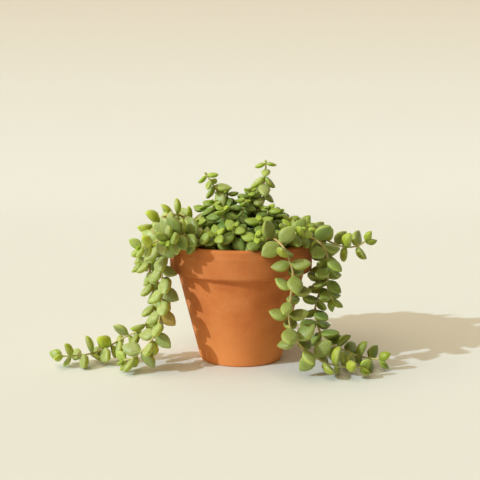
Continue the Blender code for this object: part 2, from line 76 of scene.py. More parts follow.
# Routes of the stems that show one by one, from where each leaves the crown to its tip
LONG_LEFT = ((-36, -2, 102), (-48, -6, 112), (-58, -10, 111), (-65, -14, 104), (-68, -16, 93),
             (-69, -18, 79), (-68, -19, 65), (-66, -20, 51), (-67, -21, 40), (-72, -22, 31),
             (-79, -22, 25), (-87, -20, 21), (-95, -18, 16), (-104, -19, 11), (-112, -24, 9),
             (-122, -29, 8.5), (-135, -33, 9))
FRONT_LEFT = ((-41, -20, 99), (-51, -26, 103), (-58, -30, 98), (-60, -33, 90), (-59, -34, 79),
              (-58, -35, 68), (-58, -36, 56), (-59, -38, 45), (-61, -42, 34), (-65, -45, 25),
              (-71, -46, 18), (-78, -46, 12), (-86, -45, 9))
SHORT_LEFT = ((-36, -30, 98), (-46, -41, 102), (-55, -51, 101), (-64, -57, 97), (-71, -61, 95))
HANGING_LEFT = ((-39, 8, 101), (-52, 10, 107), (-63, 7, 105), (-71, 3, 97), (-75, 0, 86), (-77, -2, 74))
FRONT_RIGHT = ((19, -41, 98), (25, -50, 99), (30.5, -57, 94), (34, -60, 87), (36, -61, 80), (37, -61, 72),
               (35.5, -61, 63), (34.5, -61, 54), (34, -62, 44), (36, -62, 35), (40, -62, 28),
               (45, -61, 22), (51, -60, 17), (58, -58, 12.5), (67, -57, 9), (77, -59, 8), (87, -60, 8))
SHADED_RIGHT = ((41, -7, 98), (51, -9, 99), (59, -11, 94), (62, -13, 83), (62, -15, 71), (59.5, -18, 56),
                (56, -21, 43), (57, -24, 32), (62, -28, 22), (69, -31, 17), (79, -32, 12.5),
                (90, -35, 9), (104, -40, 8.5))
HANGING_RIGHT = ((40, -24, 96), (51, -29, 98), (60, -33, 92), (64, -34, 81), (64, -35, 70), (64, -36, 60),
                 (68, -37, 52))
LEVEL_RIGHT = ((34, 10, 91), (46, 8, 95), (57, 5, 95.5), (69, 2, 90), (80, 0, 86.5), (90, 0, 87.5),
               (97, 0, 92))
TALL_LEFT = ((-9, 10, 108), (-15, 8, 124), (-19.5, 6, 131), (-23.5, 4, 137), (-26.5, 4, 142))
TALL_RIGHT = ((11, 8, 108), (13, 8, 118), (16, 8, 129), (18, 8, 137), (19, 8, 145), (19, 8, 151))
FACING_LEFT = ((-29, -38, 96), (-41, -47, 102), (-50, -55, 101), (-53, -59, 99))
FACING_RIGHT = ((30, -33, 95), (38, -39, 102), (43, -44, 104))
BACK_LONG = ((-14, 40, 99), (-15, 54, 104), (-14, 64, 98), (-13, 68, 86), (-12, 68, 70), (-11, 67, 54),
             (-10, 67, 38), (-9, 70, 24), (-7, 77, 13), (-3, 88, 9), (3, 100, 8.5))
BACK_MIDDLE = ((14, 40, 98), (16, 53, 104), (17, 63, 99), (18, 68, 88), (18, 69, 74), (17, 69, 60),
               (17, 70, 48))
BACK_SHORT = ((-32, 30, 98), (-40, 41, 103), (-46, 49, 97), (-48, 53, 86), (-49, 54, 74))


@dataclass(frozen=True)
class Habit:
    """How the leaves sit on one kind of stem.

    Attributes:
        steps: The spaces between the pairs next to the tip, as shares of the full space.
        sizes: The sizes of the pairs next to the tip, as shares of the full size.
        buds: How many pairs are buds.
        narrow: The angle of the tip pair from the stem, in degrees.
        wide: The angle of the full-grown pairs.
        fold: How far the outer leaves of a hanging stem are laid back along it.
        sunward: How much the light and the open side turn a leaf's face.
        droop: The least and the most that a leaf bends down, as a share of its length.
        first_leaf: The height over the root below which a stem is bare.
        most_pairs: How many pairs it keeps. Below them the leaves above hide it.
    """

    steps: tuple[float, ...]
    sizes: tuple[float, ...]
    buds: int
    narrow: float
    wide: float
    fold: float
    sunward: float
    droop: tuple[float, float]
    first_leaf: float
    most_pairs: int


TRAILING = Habit(
    steps=(0.13, 0.75, 0.95), sizes=(0.38, 0.66, 0.92, 1.0), buds=2, narrow=32.0, wide=80.0,
    fold=1.3, sunward=0.35, droop=(-0.06, 0.09), first_leaf=16.0, most_pairs=60)
DRAPED = Habit(
    steps=(0.13, 0.75, 0.95), sizes=(0.42, 0.74, 0.96, 1.0), buds=2, narrow=36.0, wide=70.0,
    fold=0.5, sunward=0.9, droop=(0.0, 0.16), first_leaf=16.0, most_pairs=60)
UPRIGHT = Habit(
    steps=(0.85, 0.95, 1.0), sizes=(0.62, 0.66, 0.92, 1.0), buds=1, narrow=84.0, wide=102.0,
    fold=0.0, sunward=0.7, droop=(0.18, 0.34), first_leaf=12.0, most_pairs=7)
UNSEEN = Habit(
    steps=(0.13, 0.75, 0.95), sizes=(0.38, 0.66, 0.92, 1.0), buds=2, narrow=32.0, wide=76.0,
    fold=1.0, sunward=1.0, droop=(0.0, 0.14), first_leaf=18.0, most_pairs=60)
CROWNED = Habit(
    steps=(0.26, 0.50, 0.75), sizes=(0.50, 0.80, 0.95, 1.0), buds=1, narrow=55.0, wide=100.0,
    fold=0.0, sunward=1.7, droop=(0.12, 0.30), first_leaf=9.0, most_pairs=5)

# Name, root in the soil, route, habit, space between leaf pairs, leaf size, turn of the tip pair,
# lift and seed
ROUTED_STEMS = (
    ("stem_left_long", (-30, -2), LONG_LEFT, DRAPED, 8.2, 0.92, 80, -0.25, 1),
    ("stem_left_front", (-33, -17), FRONT_LEFT, DRAPED, 8.2, 0.94, 10, -0.25, 2),
    ("stem_left_short", (-27, -24), SHORT_LEFT, DRAPED, 7.6, 0.92, 45, -0.1, 3),
    ("stem_left_hanging", (-33, 8), HANGING_LEFT, DRAPED, 8.0, 0.92, 20, -0.25, 4),
    ("stem_right_front", (14, -34), FRONT_RIGHT, TRAILING, 9.5, 1.0, 10, 0.35, 5),
    ("stem_right_shaded", (34, -6), SHADED_RIGHT, TRAILING, 8.8, 0.98, 20, 0.0, 6),
    ("stem_right_hanging", (33, -19), HANGING_RIGHT, TRAILING, 8.6, 0.95, 30, -0.2, 7),
    ("stem_right_level", (30, 9), LEVEL_RIGHT, TRAILING, 9.2, 1.0, 45, 0.0, 8),
    ("stem_top_left", (-6, 10), TALL_LEFT, UPRIGHT, 5.8, 0.92, 75, -0.10, 9),
    ("stem_top_right", (9, 8), TALL_RIGHT, UPRIGHT, 5.8, 0.90, -8, -0.10, 10),
    ("stem_left_facing", (-18, -31), FACING_LEFT, DRAPED, 7.4, 0.92, 20, -0.2, 15),
    ("stem_right_facing", (24, -27), FACING_RIGHT, TRAILING, 8.0, 1.05, 60, -0.2, 16),
    ("stem_back_long", (-12, 31), BACK_LONG, UNSEEN, 12.0, 1.0, 45, -0.3, 12),
    ("stem_back_middle", (12, 31), BACK_MIDDLE, UNSEEN, 12.0, 1.0, 30, -0.3, 13),
    ("stem_back_short", (-26, 24), BACK_SHORT, UNSEEN, 12.0, 1.0, 30, -0.3, 14),
)

# How far the sun has warmed the leaves of a stem
STEM_BLUSH = {"stem_right_front": 0.04}

# The one ageing leaf of a stem: where it sits and how orange it has turned
AGEING_LEAF = {"stem_left_front": ((-46, -36, 45), 0.55)}

# How much painted shade darkens and greens the leaves of a stem that hangs in the plant's own shade
STEM_PAINTED_SHADE = {"stem_right_front": 0.30, "stem_right_shaded": 0.55, "stem_right_hanging": 0.55,
              "stem_right_facing": 0.45, "stem_right_level": 0.25, "stem_left_facing": 0.4}


class Slot(Enum):
    """The record's material slots."""

    TERRACOTTA = "terracotta"
    SOIL = "soil"
    LEAF = "leaf"


def linear(colour: str) -> tuple[float, float, float, float]:
    """Turn an sRGB colour into the linear one that nodes use.

    Args:
        colour: Six hex digits after a hash sign.

    Returns:
        Red, green, blue and an alpha of 1.
    """
    shares = [int(colour[n:n + 2], 16) / 255 for n in (1, 3, 5)]
    bright = [s / 12.92 if s <= 0.04045 else ((s + 0.055) / 1.055) ** 2.4 for s in shares]
    return (*bright, 1.0)


def add_node(tree: bpy.types.NodeTree, kind: str, settings: dict | None = None,
             inputs: dict | None = None) -> bpy.types.Node:
    """Add a node with its settings, values and links.

    Args:
        tree: The node tree that gets the node.
        kind: The node's type.
        settings: The node's own options by name.
        inputs: A value, or the output socket to link, for each input by name or number.

    Returns:
        The new node.
    """
    node = tree.nodes.new(kind)
    for name, value in (settings or {}).items():
        setattr(node, name, value)
    for key, value in (inputs or {}).items():
        if isinstance(value, bpy.types.NodeSocket):
            tree.links.new(value, node.inputs[key])
        else:
            node.inputs[key].default_value = value
    return node


@dataclass(frozen=True)
class Leaf:
    """One leaf as it grows.

    Attributes:
        place: Where it leaves the stem.
        out: Its direction from the stem to its tip.
        face: The direction that its upper face looks.
        length: From the stem to the tip.
        droop: How far the tip bends down, as a share of the length.
        bud: True for the small leaves at a stem's tip.
        youth: 1 for the newest leaf and 0 for a full-grown one.
    """

    place: Vector
    out: Vector
    face: Vector
    length: float
    droop: float
    bud: bool
    youth: float = 0.0


class Route:
    """A stem's centre line: a smooth curve through its points, with a side direction along it.

    Attributes:
        STEP: The space between its drawn points, in millimetres.
        STEEP: The least level share of a tip's direction that gives its own side direction.
    """

    STEP = 1.0
    STEEP = 0.2

    def __init__(self, through: tuple[Point, ...]) -> None:
        """Draw the curve.

        Args:
            through: The points that it passes through, from the root.
        """
        knots = [Vector(point) for point in through]
        self.points = [knots[0]]
        slopes = self.slopes_at(knots)
        for start, end, leave, arrive in zip(knots, knots[1:], slopes, slopes[1:]):
            chord = (end - start).length
            count = max(1, round(chord / self.STEP))
            for n in range(1, count + 1):
                t = n / count
                self.points.append(
                    start * (2 * t**3 - 3 * t**2 + 1) + end * (3 * t**2 - 2 * t**3)
                    + leave * (chord * (t**3 - 2 * t**2 + t)) + arrive * (chord * (t**3 - t**2)))
        self.reach = [0.0]
        for start, end in zip(self.points, self.points[1:]):
            self.reach.append(self.reach[-1] + (end - start).length)
        self.length = self.reach[-1]
        self.sides = self.sides_from_tip()

    @staticmethod
    def slopes_at(knots: list[Vector]) -> list[Vector]:
        """Find the curve's direction at each of its points, from the chords on both sides.

        Args:
            knots: The points that the curve passes through.

        Returns:
            One direction for each point.
        """
        chords = [end - start for start, end in zip(knots, knots[1:])]
        slopes = [chords[0].normalized()]
        for before, after in zip(chords, chords[1:]):
            blend = before.normalized() * after.length + after.normalized() * before.length
            slopes.append(blend / (before.length + after.length))
        slopes.append(chords[-1].normalized())
        return slopes

    def along(self, n: int) -> Vector:
        """Return the unit direction of growth at point n."""
        before = self.points[max(n - 1, 0)]
        after = self.points[min(n + 1, len(self.points) - 1)]
        return (after - before).normalized()

    def sides_from_tip(self) -> list[Vector]:
        """Return a side direction at each point, level at the tip and carried back without twist."""
        along = self.along(len(self.points) - 1)
        side = along.cross(UP)
        if side.length < self.STEEP:
            side = along.cross(Vector((0, -1, 0)))
        sides = []
        for n in reversed(range(len(self.points))):
            along = self.along(n)
            side = (side - along * side.dot(along)).normalized()
            sides.append(side)
        return sides[::-1]

    def at(self, distance: float) -> tuple[Vector, Vector, Vector]:
        """Find a place on the route.

        Args:
            distance: How far it is from the root, along the curve.

        Returns:
            The place, the direction of growth and the side direction there.
        """
        n = 0
        while n < len(self.reach) - 2 and self.reach[n + 1] < distance:
            n += 1
        share = (distance - self.reach[n]) / (self.reach[n + 1] - self.reach[n])
        share = min(max(share, 0.0), 1.0)
        place = self.points[n].lerp(self.points[n + 1], share)
        return place, self.along(n), self.sides[n]


class Room:
    """The solids placed so far, asked whether one more would touch them."""

    def __init__(self) -> None:
        """Start with nothing placed."""
        self.taken: list[tuple[str, Vector, float, BVHTree]] = []

    def add(self, owner: str, shape: Shape) -> None:
        """Place a solid.

        Args:
            owner: The node that it belongs to.
            shape: Its points and faces.
        """
        points, faces = shape
        self.taken.append((owner, *self.ball(points), BVHTree.FromPolygons(points, faces)))

    @staticmethod
    def ball(points: list[Vector]) -> tuple[Vector, float]:
        """Return the middle and the radius of a ball that holds the points."""
        middle = sum(points, Vector()) / len(points)
        return middle, max((point - middle).length for point in points)

    def touches(self, owner: str, shape: Shape, own_faces: list[tuple[int, ...]]) -> bool:
        """Ask whether a solid would touch one that is placed.

        Args:
            owner: The node that it belongs to.
            shape: Its points and faces.
            own_faces: The faces that may not meet the other solids of its own node.

        Returns:
            True if it meets another node's solid, or if its own_faces meet its own node's.
        """
        points, faces = shape
        middle, radius = self.ball(points)
        whole = None
        outer = None
        for other, centre, reach, tree in self.taken:
            if (centre - middle).length > radius + reach:
                continue
            if other == owner:
                if not own_faces:
                    continue
                outer = outer or BVHTree.FromPolygons(points, own_faces)
                if tree.overlap(outer):
                    return True
            else:
                whole = whole or BVHTree.FromPolygons(points, faces)
                if tree.overlap(whole):
                    return True
        return False


@dataclass
class Stem:
    """One leafy stem.

    Attributes:
        name: The CAD node that it stands for.
        route: Its centre line.
        habit: How its leaves sit.
        turn: The turn of the tip pair round the stem, in degrees.
        lift: How far the leaves rise, or sink where it is below 0.
        seed: The seed of its draws.
        pairs: Distance from the root, size and bud flag of each leaf pair, from the tip back.
        leaves: The leaves placed so far.
    """

    name: str
    route: Route
    habit: Habit
    turn: float
    lift: float
    seed: int
    pairs: list[tuple[float, float, bool]]
    leaves: list[Leaf] = field(default_factory=list)


def joined_rings(rings: int, count: int, first: int = 0, flipped: bool = False) -> list[tuple[int, ...]]:
    """Join rings of points with four-cornered faces.

    Args:
        rings: How many rings there are.
        count: How many points each has.
        first: The number of the first point.
        flipped: Whether the faces are turned over. They look outwards without it where the rings go
            round anticlockwise, seen from the last one.

    Returns:
        The faces, ring by ring.
    """
    faces = []
    for low in range(first, first + (rings - 1) * count, count):
        for k in range(count):
            m = (k + 1) % count
            face = (low + k, low + m, low + count + m, low + count + k)
            faces.append(face[:1] + face[:0:-1] if flipped else face)
    return faces


@dataclass
class PotForm:
    """Sizes of the pot and of the soil in it, in millimetres, as the CAD has them."""

    height: float = 91.5
    rim_radius: float = 55.0
    band_height: float = 22.0
    band_taper: float = 0.6
    body_top_radius: float = 49.0
    foot_radius: float = 31.5
    wall: float = 6.0
    floor_thickness: float = 8.0
    floor_flare: float = 2.0
    drain_radius: float = 6.0
    edge_round: float = 1.4
    cad_sides: int = 36
    soil_top: float = 82.0
    soil_gap: float = 0.45
    soil_sides: int = 20
    soil_rings: int = 3
    soil_bump: float = 1.1
    soil_seed: int = 11

    def inner_radius(self, height: float) -> float:
        """Return the radius of the straight inner wall at a height."""
        floor_radius = self.foot_radius - self.wall + self.floor_flare
        share = (height - self.floor_thickness) / (self.height - self.edge_round - self.floor_thickness)
        return floor_radius + (self.rim_radius - self.wall - floor_radius) * share

    def cad_profile(self) -> list[tuple[float, float]]:
        """Return the CAD pot's closed profile, as radius and height."""
        band_bottom = self.height - self.band_height
        inner_rim = self.rim_radius - self.wall
        edge = self.edge_round
        return [
            (self.drain_radius, 0.0),
            (self.foot_radius - edge, 0.0),
            (self.foot_radius, edge),
            (self.body_top_radius, band_bottom),
            (self.rim_radius - self.band_taper - edge, band_bottom),
            (self.rim_radius - self.band_taper, band_bottom + edge),
            (self.rim_radius, self.height - edge),
            (self.rim_radius - edge, self.height),
            (inner_rim + edge / 2, self.height),
            (inner_rim, self.height - edge),
            (self.inner_radius(self.floor_thickness), self.floor_thickness),
            (self.drain_radius, self.floor_thickness),
        ]

    def cad_soil(self) -> Shape:
        """Return the points and faces of the CAD soil, a plug with a slightly crowned top."""
        draw = random.Random(self.soil_seed)
        bottom = self.floor_thickness + self.soil_gap
        top = self.soil_top
        sides = self.soil_sides
        rows = [(self.inner_radius(bottom) - self.soil_gap, bottom, 0.0),
                (self.inner_radius(top) - self.soil_gap, top, 0.0)]
        for n in range(1, self.soil_rings):
            rows.append(((1 - n / self.soil_rings) * self.inner_radius(top), top, self.soil_bump))
        points = []
        faces = [tuple(reversed(range(sides)))]
        for radius, height, bump in rows:
            for k in range(sides):
                angle = 2 * math.pi * k / sides
                lift = draw.uniform(-bump, bump)
                points.append(Vector((radius * math.cos(angle), radius * math.sin(angle), height + lift)))
        faces += joined_rings(len(rows), sides)
        last = len(points) - sides
        points.append(Vector((0, 0, top + self.soil_bump)))
        faces += [(last + k, last + (k + 1) % sides, last + sides) for k in range(sides)]
        return points, faces


def turned_shape(profile: list[tuple[float, float]], sides: int) -> Shape:
    """Turn a closed profile about the Z axis.

    Args:
        profile: Radius and height of each point.
        sides: How many copies go round.

    Returns:
        Points and faces.
    """
    points = []
    faces = []
    count = len(profile)
    for n in range(sides):
        angle = 2 * math.pi * n / sides
        for radius, height in profile:
            points.append(Vector((radius * math.cos(angle), radius * math.sin(angle), height)))
    for n in range(sides):
        here = n * count
        there = (n + 1) % sides * count
        for k in range(count):
            m = (k + 1) % count
            faces.append((here + k, there + k, there + m, here + m))
    return points, faces


@dataclass
class Growth:
    """The rule that sets the stems and gives each its leaves, with the CAD's values and draws.

    Lengths are in millimetres, angles in degrees, and a leaf's own sizes are shares of its length.
    """

    pot: PotForm
    # What the leaves and the stems keep clear of
    gap: float = 0.35
    floor_clearance: float = 0.5
    stem_clearance: float = 3.2
    # A stem as the CAD has it
    stem_radius: float = 1.15
    stem_tip_radius: float = 0.75
    stem_sides: int = 4
    stem_ring_spacing: float = 12.0
    root_depth: float = 9.0
    root_rise: float = 3.0
    tip_length: float = 0.5
    # A leaf as the CAD has it
    leaf_length: float = 16.0
    leaf_half_width: float = 0.345
    leaf_depth: float = 0.30
    leaf_root: float = -0.03
    leaf_rings: tuple = ((0.30, 0.92), (0.68, 0.86))
    bud_rings: tuple = ((0.42, 1.0),)
    leaf_section: tuple = ((-1.0, 0.0), (1.0, 0.0), (0.0, -1.0))
    # How a leaf that doesn't fit is turned and shrunk, and what a shrink to nothing counts as a turn
    turns: tuple = (0, 14, -14, 28, -28, 42, -42)
    shrinks: tuple = (1.0, 0.86, 0.72)
    shrink_cost: float = 90.0
    # How far one leaf may differ from the next
    turn_jitter: float = 16.0
    opening_jitter: tuple = (-8.0, 10.0)
    lift_jitter: float = 0.15
    size_jitter: tuple = (0.88, 1.08)
    # The pairs at the tip that may touch their own stem's leaves, those that are young, and how far
    # from the tip the leaves are still opening
    free_pairs: int = 2
    young_pairs: int = 3
    opens_within: float = 9.0
    # Towards the root the pairs sit closer, to this share of the full space
    crowded: float = 0.62
    crowded_within: float = 75.0
    # What draws a leaf's face, and from where the light comes
    face_along: float = 0.9
    face_outward: float = 0.5
    face_up: float = 0.5
    face_light: float = 0.6
    light: Vector = field(default_factory=lambda: Vector((-0.55, -0.60, 0.58)))
    # The crown: a spiral of stems that lean outwards, higher in the middle
    crown_stems: int = 28
    golden_angle: float = 137.508
    crown_shifts: tuple = (0, 6, -6, 12, -12, 18, -18, 24, -24, 30, -30, 40, -40)
    crown_radius: float = 41.5
    crown_lean: float = 1.34
    crown_lean_jitter: float = 0.06
    crown_knee: float = 0.55
    crown_edge_height: float = 101.5
    crown_dome: float = 28.0
    crown_height_jitter: tuple = (-2, 3)
    crown_middle_leaf: float = 0.76
    crown_edge_leaf: float = 0.96
    crown_spacing: float = 6.6
    crown_lift: float = -0.20
    crown_seed: int = 77
    crown_leaf_seed: int = 127

    def stems(self) -> list[Stem]:
        """Return every stem with its leaves."""
        stems = [self.routed_stem(*entry) for entry in ROUTED_STEMS]
        for n in range(self.crown_stems):
            stem = self.crown_stem(n, stems)
            if stem:
                stems.append(stem)
        room = Room()
        room.add("pot", turned_shape(self.pot.cad_profile(), self.pot.cad_sides))
        room.add("soil", self.pot.cad_soil())
        for stem in stems:
            room.add(stem.name, self.tube(stem.route))
        for stem in stems:
            self.place_leaves(stem, room)
        LOG.info("%d leaves of %d", sum(len(stem.leaves) for stem in stems),
                 sum(2 * len(stem.pairs) for stem in stems))
        return stems

    def tube(self, route: Route) -> Shape:
        """Return the points and faces of the CAD stem along a route."""
        sides = self.stem_sides
        rings = max(2, round(route.length / self.stem_ring_spacing) + 1)
        points = []
        for n in range(rings):
            distance = route.length * n / (rings - 1)
            place, along, side = route.at(distance)
            over = along.cross(side)
            share = distance / route.length
            size = self.stem_radius + (self.stem_tip_radius - self.stem_radius) * share
            for k in range(sides):
                angle = 2 * math.pi * k / sides
                points.append(place + (side * math.cos(angle) + over * math.sin(angle)) * size)
        ends = [tuple(reversed(range(sides))), tuple(range((rings - 1) * sides, rings * sides))]
        return points, ends + joined_rings(rings, sides)

    def leaf_shape(self, leaf: Leaf, margin: float = 0.0) -> Shape:
        """Return the points and faces of a CAD leaf, made larger all round by a margin."""
        rings = self.bud_rings if leaf.bud else self.leaf_rings
        length = leaf.length
        across = leaf.out.cross(leaf.face)
        corners = len(self.leaf_section)
        points = [leaf.place + leaf.out * (self.leaf_root * length)]
        for share, width in rings:
            middle = leaf.place + leaf.out * (share * length)
            middle = middle - leaf.face * (leaf.droop * share * share * length)
            for side, height in self.leaf_section:
                sideways = side * (width * self.leaf_half_width * length + margin)
                upwards = height * (width * self.leaf_depth * length + margin) if height else margin
                points.append(middle + across * sideways + leaf.face * upwards)
        points.append(leaf.place + leaf.out * (length + margin) - leaf.face * (leaf.droop * length))
        tip = len(points) - 1
        faces = [(0, k + 1, (k + 1) % corners + 1) for k in range(corners)]
        faces += joined_rings(len(rings), corners, first=1, flipped=True)
        faces += [(tip - corners + k, tip, tip - corners + (k + 1) % corners) for k in range(corners)]
        return points, faces

    def leaf_pairs(self, route: Route, habit: Habit, spacing: float,
                   size: float) -> list[tuple[float, float, bool]]:
        """Set the leaf pairs of a stem, from its tip back, closer together towards the root.

        Args:
            route: The stem's centre line.
            habit: How its leaves sit.
            spacing: The full space between two pairs.
            size: The size of a full-grown leaf of this stem.

        Returns:
            Distance from the root, size and bud flag of each pair.
        """
        distance = route.length - self.tip_length
        first = self.root_depth + habit.first_leaf
        pairs = []
        while distance > first and len(pairs) < habit.most_pairs:
            n = len(pairs)
            pairs.append((distance, size * habit.sizes[min(n, len(habit.sizes) - 1)], n < habit.buds))
            closer = self.crowded + (1 - self.crowded) * min(1.0, distance / self.crowded_within)
            distance -= spacing * closer * (habit.steps[n] if n < len(habit.steps) else 1.0)
        return pairs

    def leaf_pose(self, stem: Stem, n: int, half: int, draw: random.Random) -> Leaf:
        """Grow one leaf: out from the stem, its face to the tip, both lifted to the light.

        Args:
            stem: The stem that it grows on.
            n: The number of its pair, from the tip.
            half: 0 or 1, for the two leaves of a pair.
            draw: The stem's own draws.

        Returns:
            The leaf.
        """
        habit = stem.habit
        distance, size, bud = stem.pairs[n]
        place, along, side = stem.route.at(distance)
        over = along.cross(side)
        jitter = draw.uniform(-self.turn_jitter, self.turn_jitter)
        angle = math.radians(stem.turn + 90 * n + 180 * half + jitter)
        away = side * math.cos(angle) + over * math.sin(angle)
        spread = min(1.0, (stem.route.length - distance) / self.opens_within)
        opening = habit.narrow + (habit.wide - habit.narrow) * spread + draw.uniform(*self.opening_jitter)
        opening = math.radians(opening)
        hanging = max(0.0, -along.z)
        outward = Vector((place.x, place.y, 0))
        folded = habit.fold * hanging * max(0.0, away.dot(outward.normalized()))**2
        out = along * (math.cos(opening) + folded) + away * math.sin(opening)
        out = out + UP * (stem.lift * spread + draw.uniform(-self.lift_jitter, self.lift_jitter))
        out.normalize()
        open_side = outward * (self.face_outward / self.pot.rim_radius) + self.light * self.face_light
        faced = along * ((1 - hanging) * self.face_along) + UP * self.face_up + open_side * habit.sunward
        face = (faced - out * faced.dot(out)).normalized()
        grown = self.leaf_length * size * draw.uniform(*self.size_jitter)
        droop = draw.uniform(*habit.droop)
        return Leaf(place, out, face, grown, droop, bud, youth=max(0.0, 1.0 - n / self.young_pairs))

    @staticmethod
    def turned_leaf(leaf: Leaf, lift: float, swing: float, shrink: float) -> Leaf:
        """Return the leaf lifted about its own width, swung about its face and made smaller."""
        across = leaf.out.cross(leaf.face)
        rotation = Matrix.Rotation(math.radians(swing), 3, leaf.face)
        rotation = Matrix.Rotation(math.radians(lift), 3, across) @ rotation
        return replace(leaf, out=rotation @ leaf.out, face=rotation @ leaf.face, length=leaf.length * shrink)

    def leaf_tries(self) -> list[tuple[float, float, float]]:
        """Return the turns and shrinks for a leaf that doesn't fit as it grows, the smallest first."""
        tries = [(abs(lift) + abs(swing) + self.shrink_cost * (1 - shrink), lift, swing, shrink)
                 for lift in self.turns for swing in self.turns for shrink in self.shrinks]
        return [entry[1:] for entry in sorted(tries)]

    def place_leaves(self, stem: Stem, room: Room) -> None:
        """Give a stem its leaves, each turned or shrunk until it stands clear.

        Args:
            stem: The stem that gets the leaves.
            room: The solids placed so far, which the leaves join.
        """
        draw = random.Random(stem.seed)
        corners = len(self.leaf_section)
        for n in range(len(stem.pairs)):
            for half in (0, 1):
                grown = self.leaf_pose(stem, n, half, draw)
                for lift, swing, shrink in self.leaf_tries():
                    leaf = self.turned_leaf(grown, lift, swing, shrink)
                    points, faces = self.leaf_shape(leaf, self.gap)
                    own_faces = [] if n < self.free_pairs else faces[corners:]
                    if min(point.z for point in points) < self.floor_clearance:
                        continue
                    if room.touches(stem.name, (points, faces), own_faces):
                        continue
                    stem.leaves.append(leaf)
                    room.add(stem.name, self.leaf_shape(leaf))
                    break

    def routed_stem(self, name: str, root: tuple[float, float], route: tuple[Point, ...], habit: Habit,
                    spacing: float, size: float, turn: float, lift: float, seed: int) -> Stem:
        """Make a stem whose route is given, rising straight out of its hole first.

        Args:
            name: The CAD node.
            root: Where it stands in the soil.
            route: The points from where it leaves the crown to its tip.
            habit: How its leaves sit.
            spacing: The full space between two leaf pairs.
            size: The size of its full-grown leaves.
            turn: The turn of the tip pair, in degrees.
            lift: How far its leaves rise.
            seed: The seed of its draws.

        Returns:
            The stem, without leaves yet.
        """
        x, y = root
        top = self.pot.soil_top
        straight = ((x, y, top - self.root_depth), (x, y, top), (x, y, top + self.root_rise))
        path = Route(straight + route)
        pairs = self.leaf_pairs(path, habit, spacing, size)
        return Stem(name, path, habit, turn, lift, seed, pairs)

    def crown_stem(self, n: int, others: list[Stem]) -> Stem | None:
        """Set a crown stem where its line keeps clear of the stems already there.

        Args:
            n: Its number in the spiral.
            others: The stems that are set.

        Returns:
            The stem without leaves yet, or None where there is no room.
        """
        draw = random.Random(self.crown_seed + n)
        top = self.pot.soil_top
        share = math.sqrt((n + 0.5) / self.crown_stems)
        radius = self.crown_radius * share
        height = self.crown_edge_height + self.crown_dome * (1 - share**2)**2
        height += draw.uniform(*self.crown_height_jitter)
        size = self.crown_middle_leaf + (self.crown_edge_leaf - self.crown_middle_leaf) * share**2
        lean = self.crown_lean + draw.uniform(-self.crown_lean_jitter, self.crown_lean_jitter)
        knee_lean = 1 + (lean - 1) * self.crown_knee
        for shift in self.crown_shifts:
            angle = math.radians(n * self.golden_angle + shift)
            x = radius * math.cos(angle)
            y = radius * math.sin(angle)
            route = Route((
                (x, y, top - self.root_depth), (x, y, top), (x, y, top + self.root_rise),
                (x * knee_lean, y * knee_lean, top + (height - top) * self.crown_knee),
                (x * lean, y * lean, height)))
            if all(self.apart(route, other.route) > self.stem_clearance for other in others):
                break
        else:
            return None
        turn = draw.uniform(0, 90)
        pairs = self.leaf_pairs(route, CROWNED, self.crown_spacing, size)
        return Stem(f"stem_crown_{n + 1:02d}", route, CROWNED, turn, self.crown_lift,
                    self.crown_leaf_seed + n, pairs)

    @staticmethod
    def apart(route: Route, other: Route) -> float:
        """Return the least distance from every third point of a route to every second of the other."""
        return min((here - there).length for here in route.points[::3] for there in other.points[::2])


def new_material(name: str, even: dict[str, object]) -> tuple[
        bpy.types.Material, bpy.types.Node, bpy.types.NodeSocket]:
    """Start a material.

    Args:
        name: Its name.
        even: What is the same all over the surface, by the name of the shader's socket.

    Returns:
        The material, its shader and the Object coordinates.
    """
    made = bpy.data.materials.new(name)
    made.use_nodes = True
    shader = made.node_tree.nodes["Principled BSDF"]
    for socket, value in even.items():
        shader.inputs[socket].default_value = value
    return made, shader, add_node(made.node_tree, "ShaderNodeTexCoord").outputs["Object"]


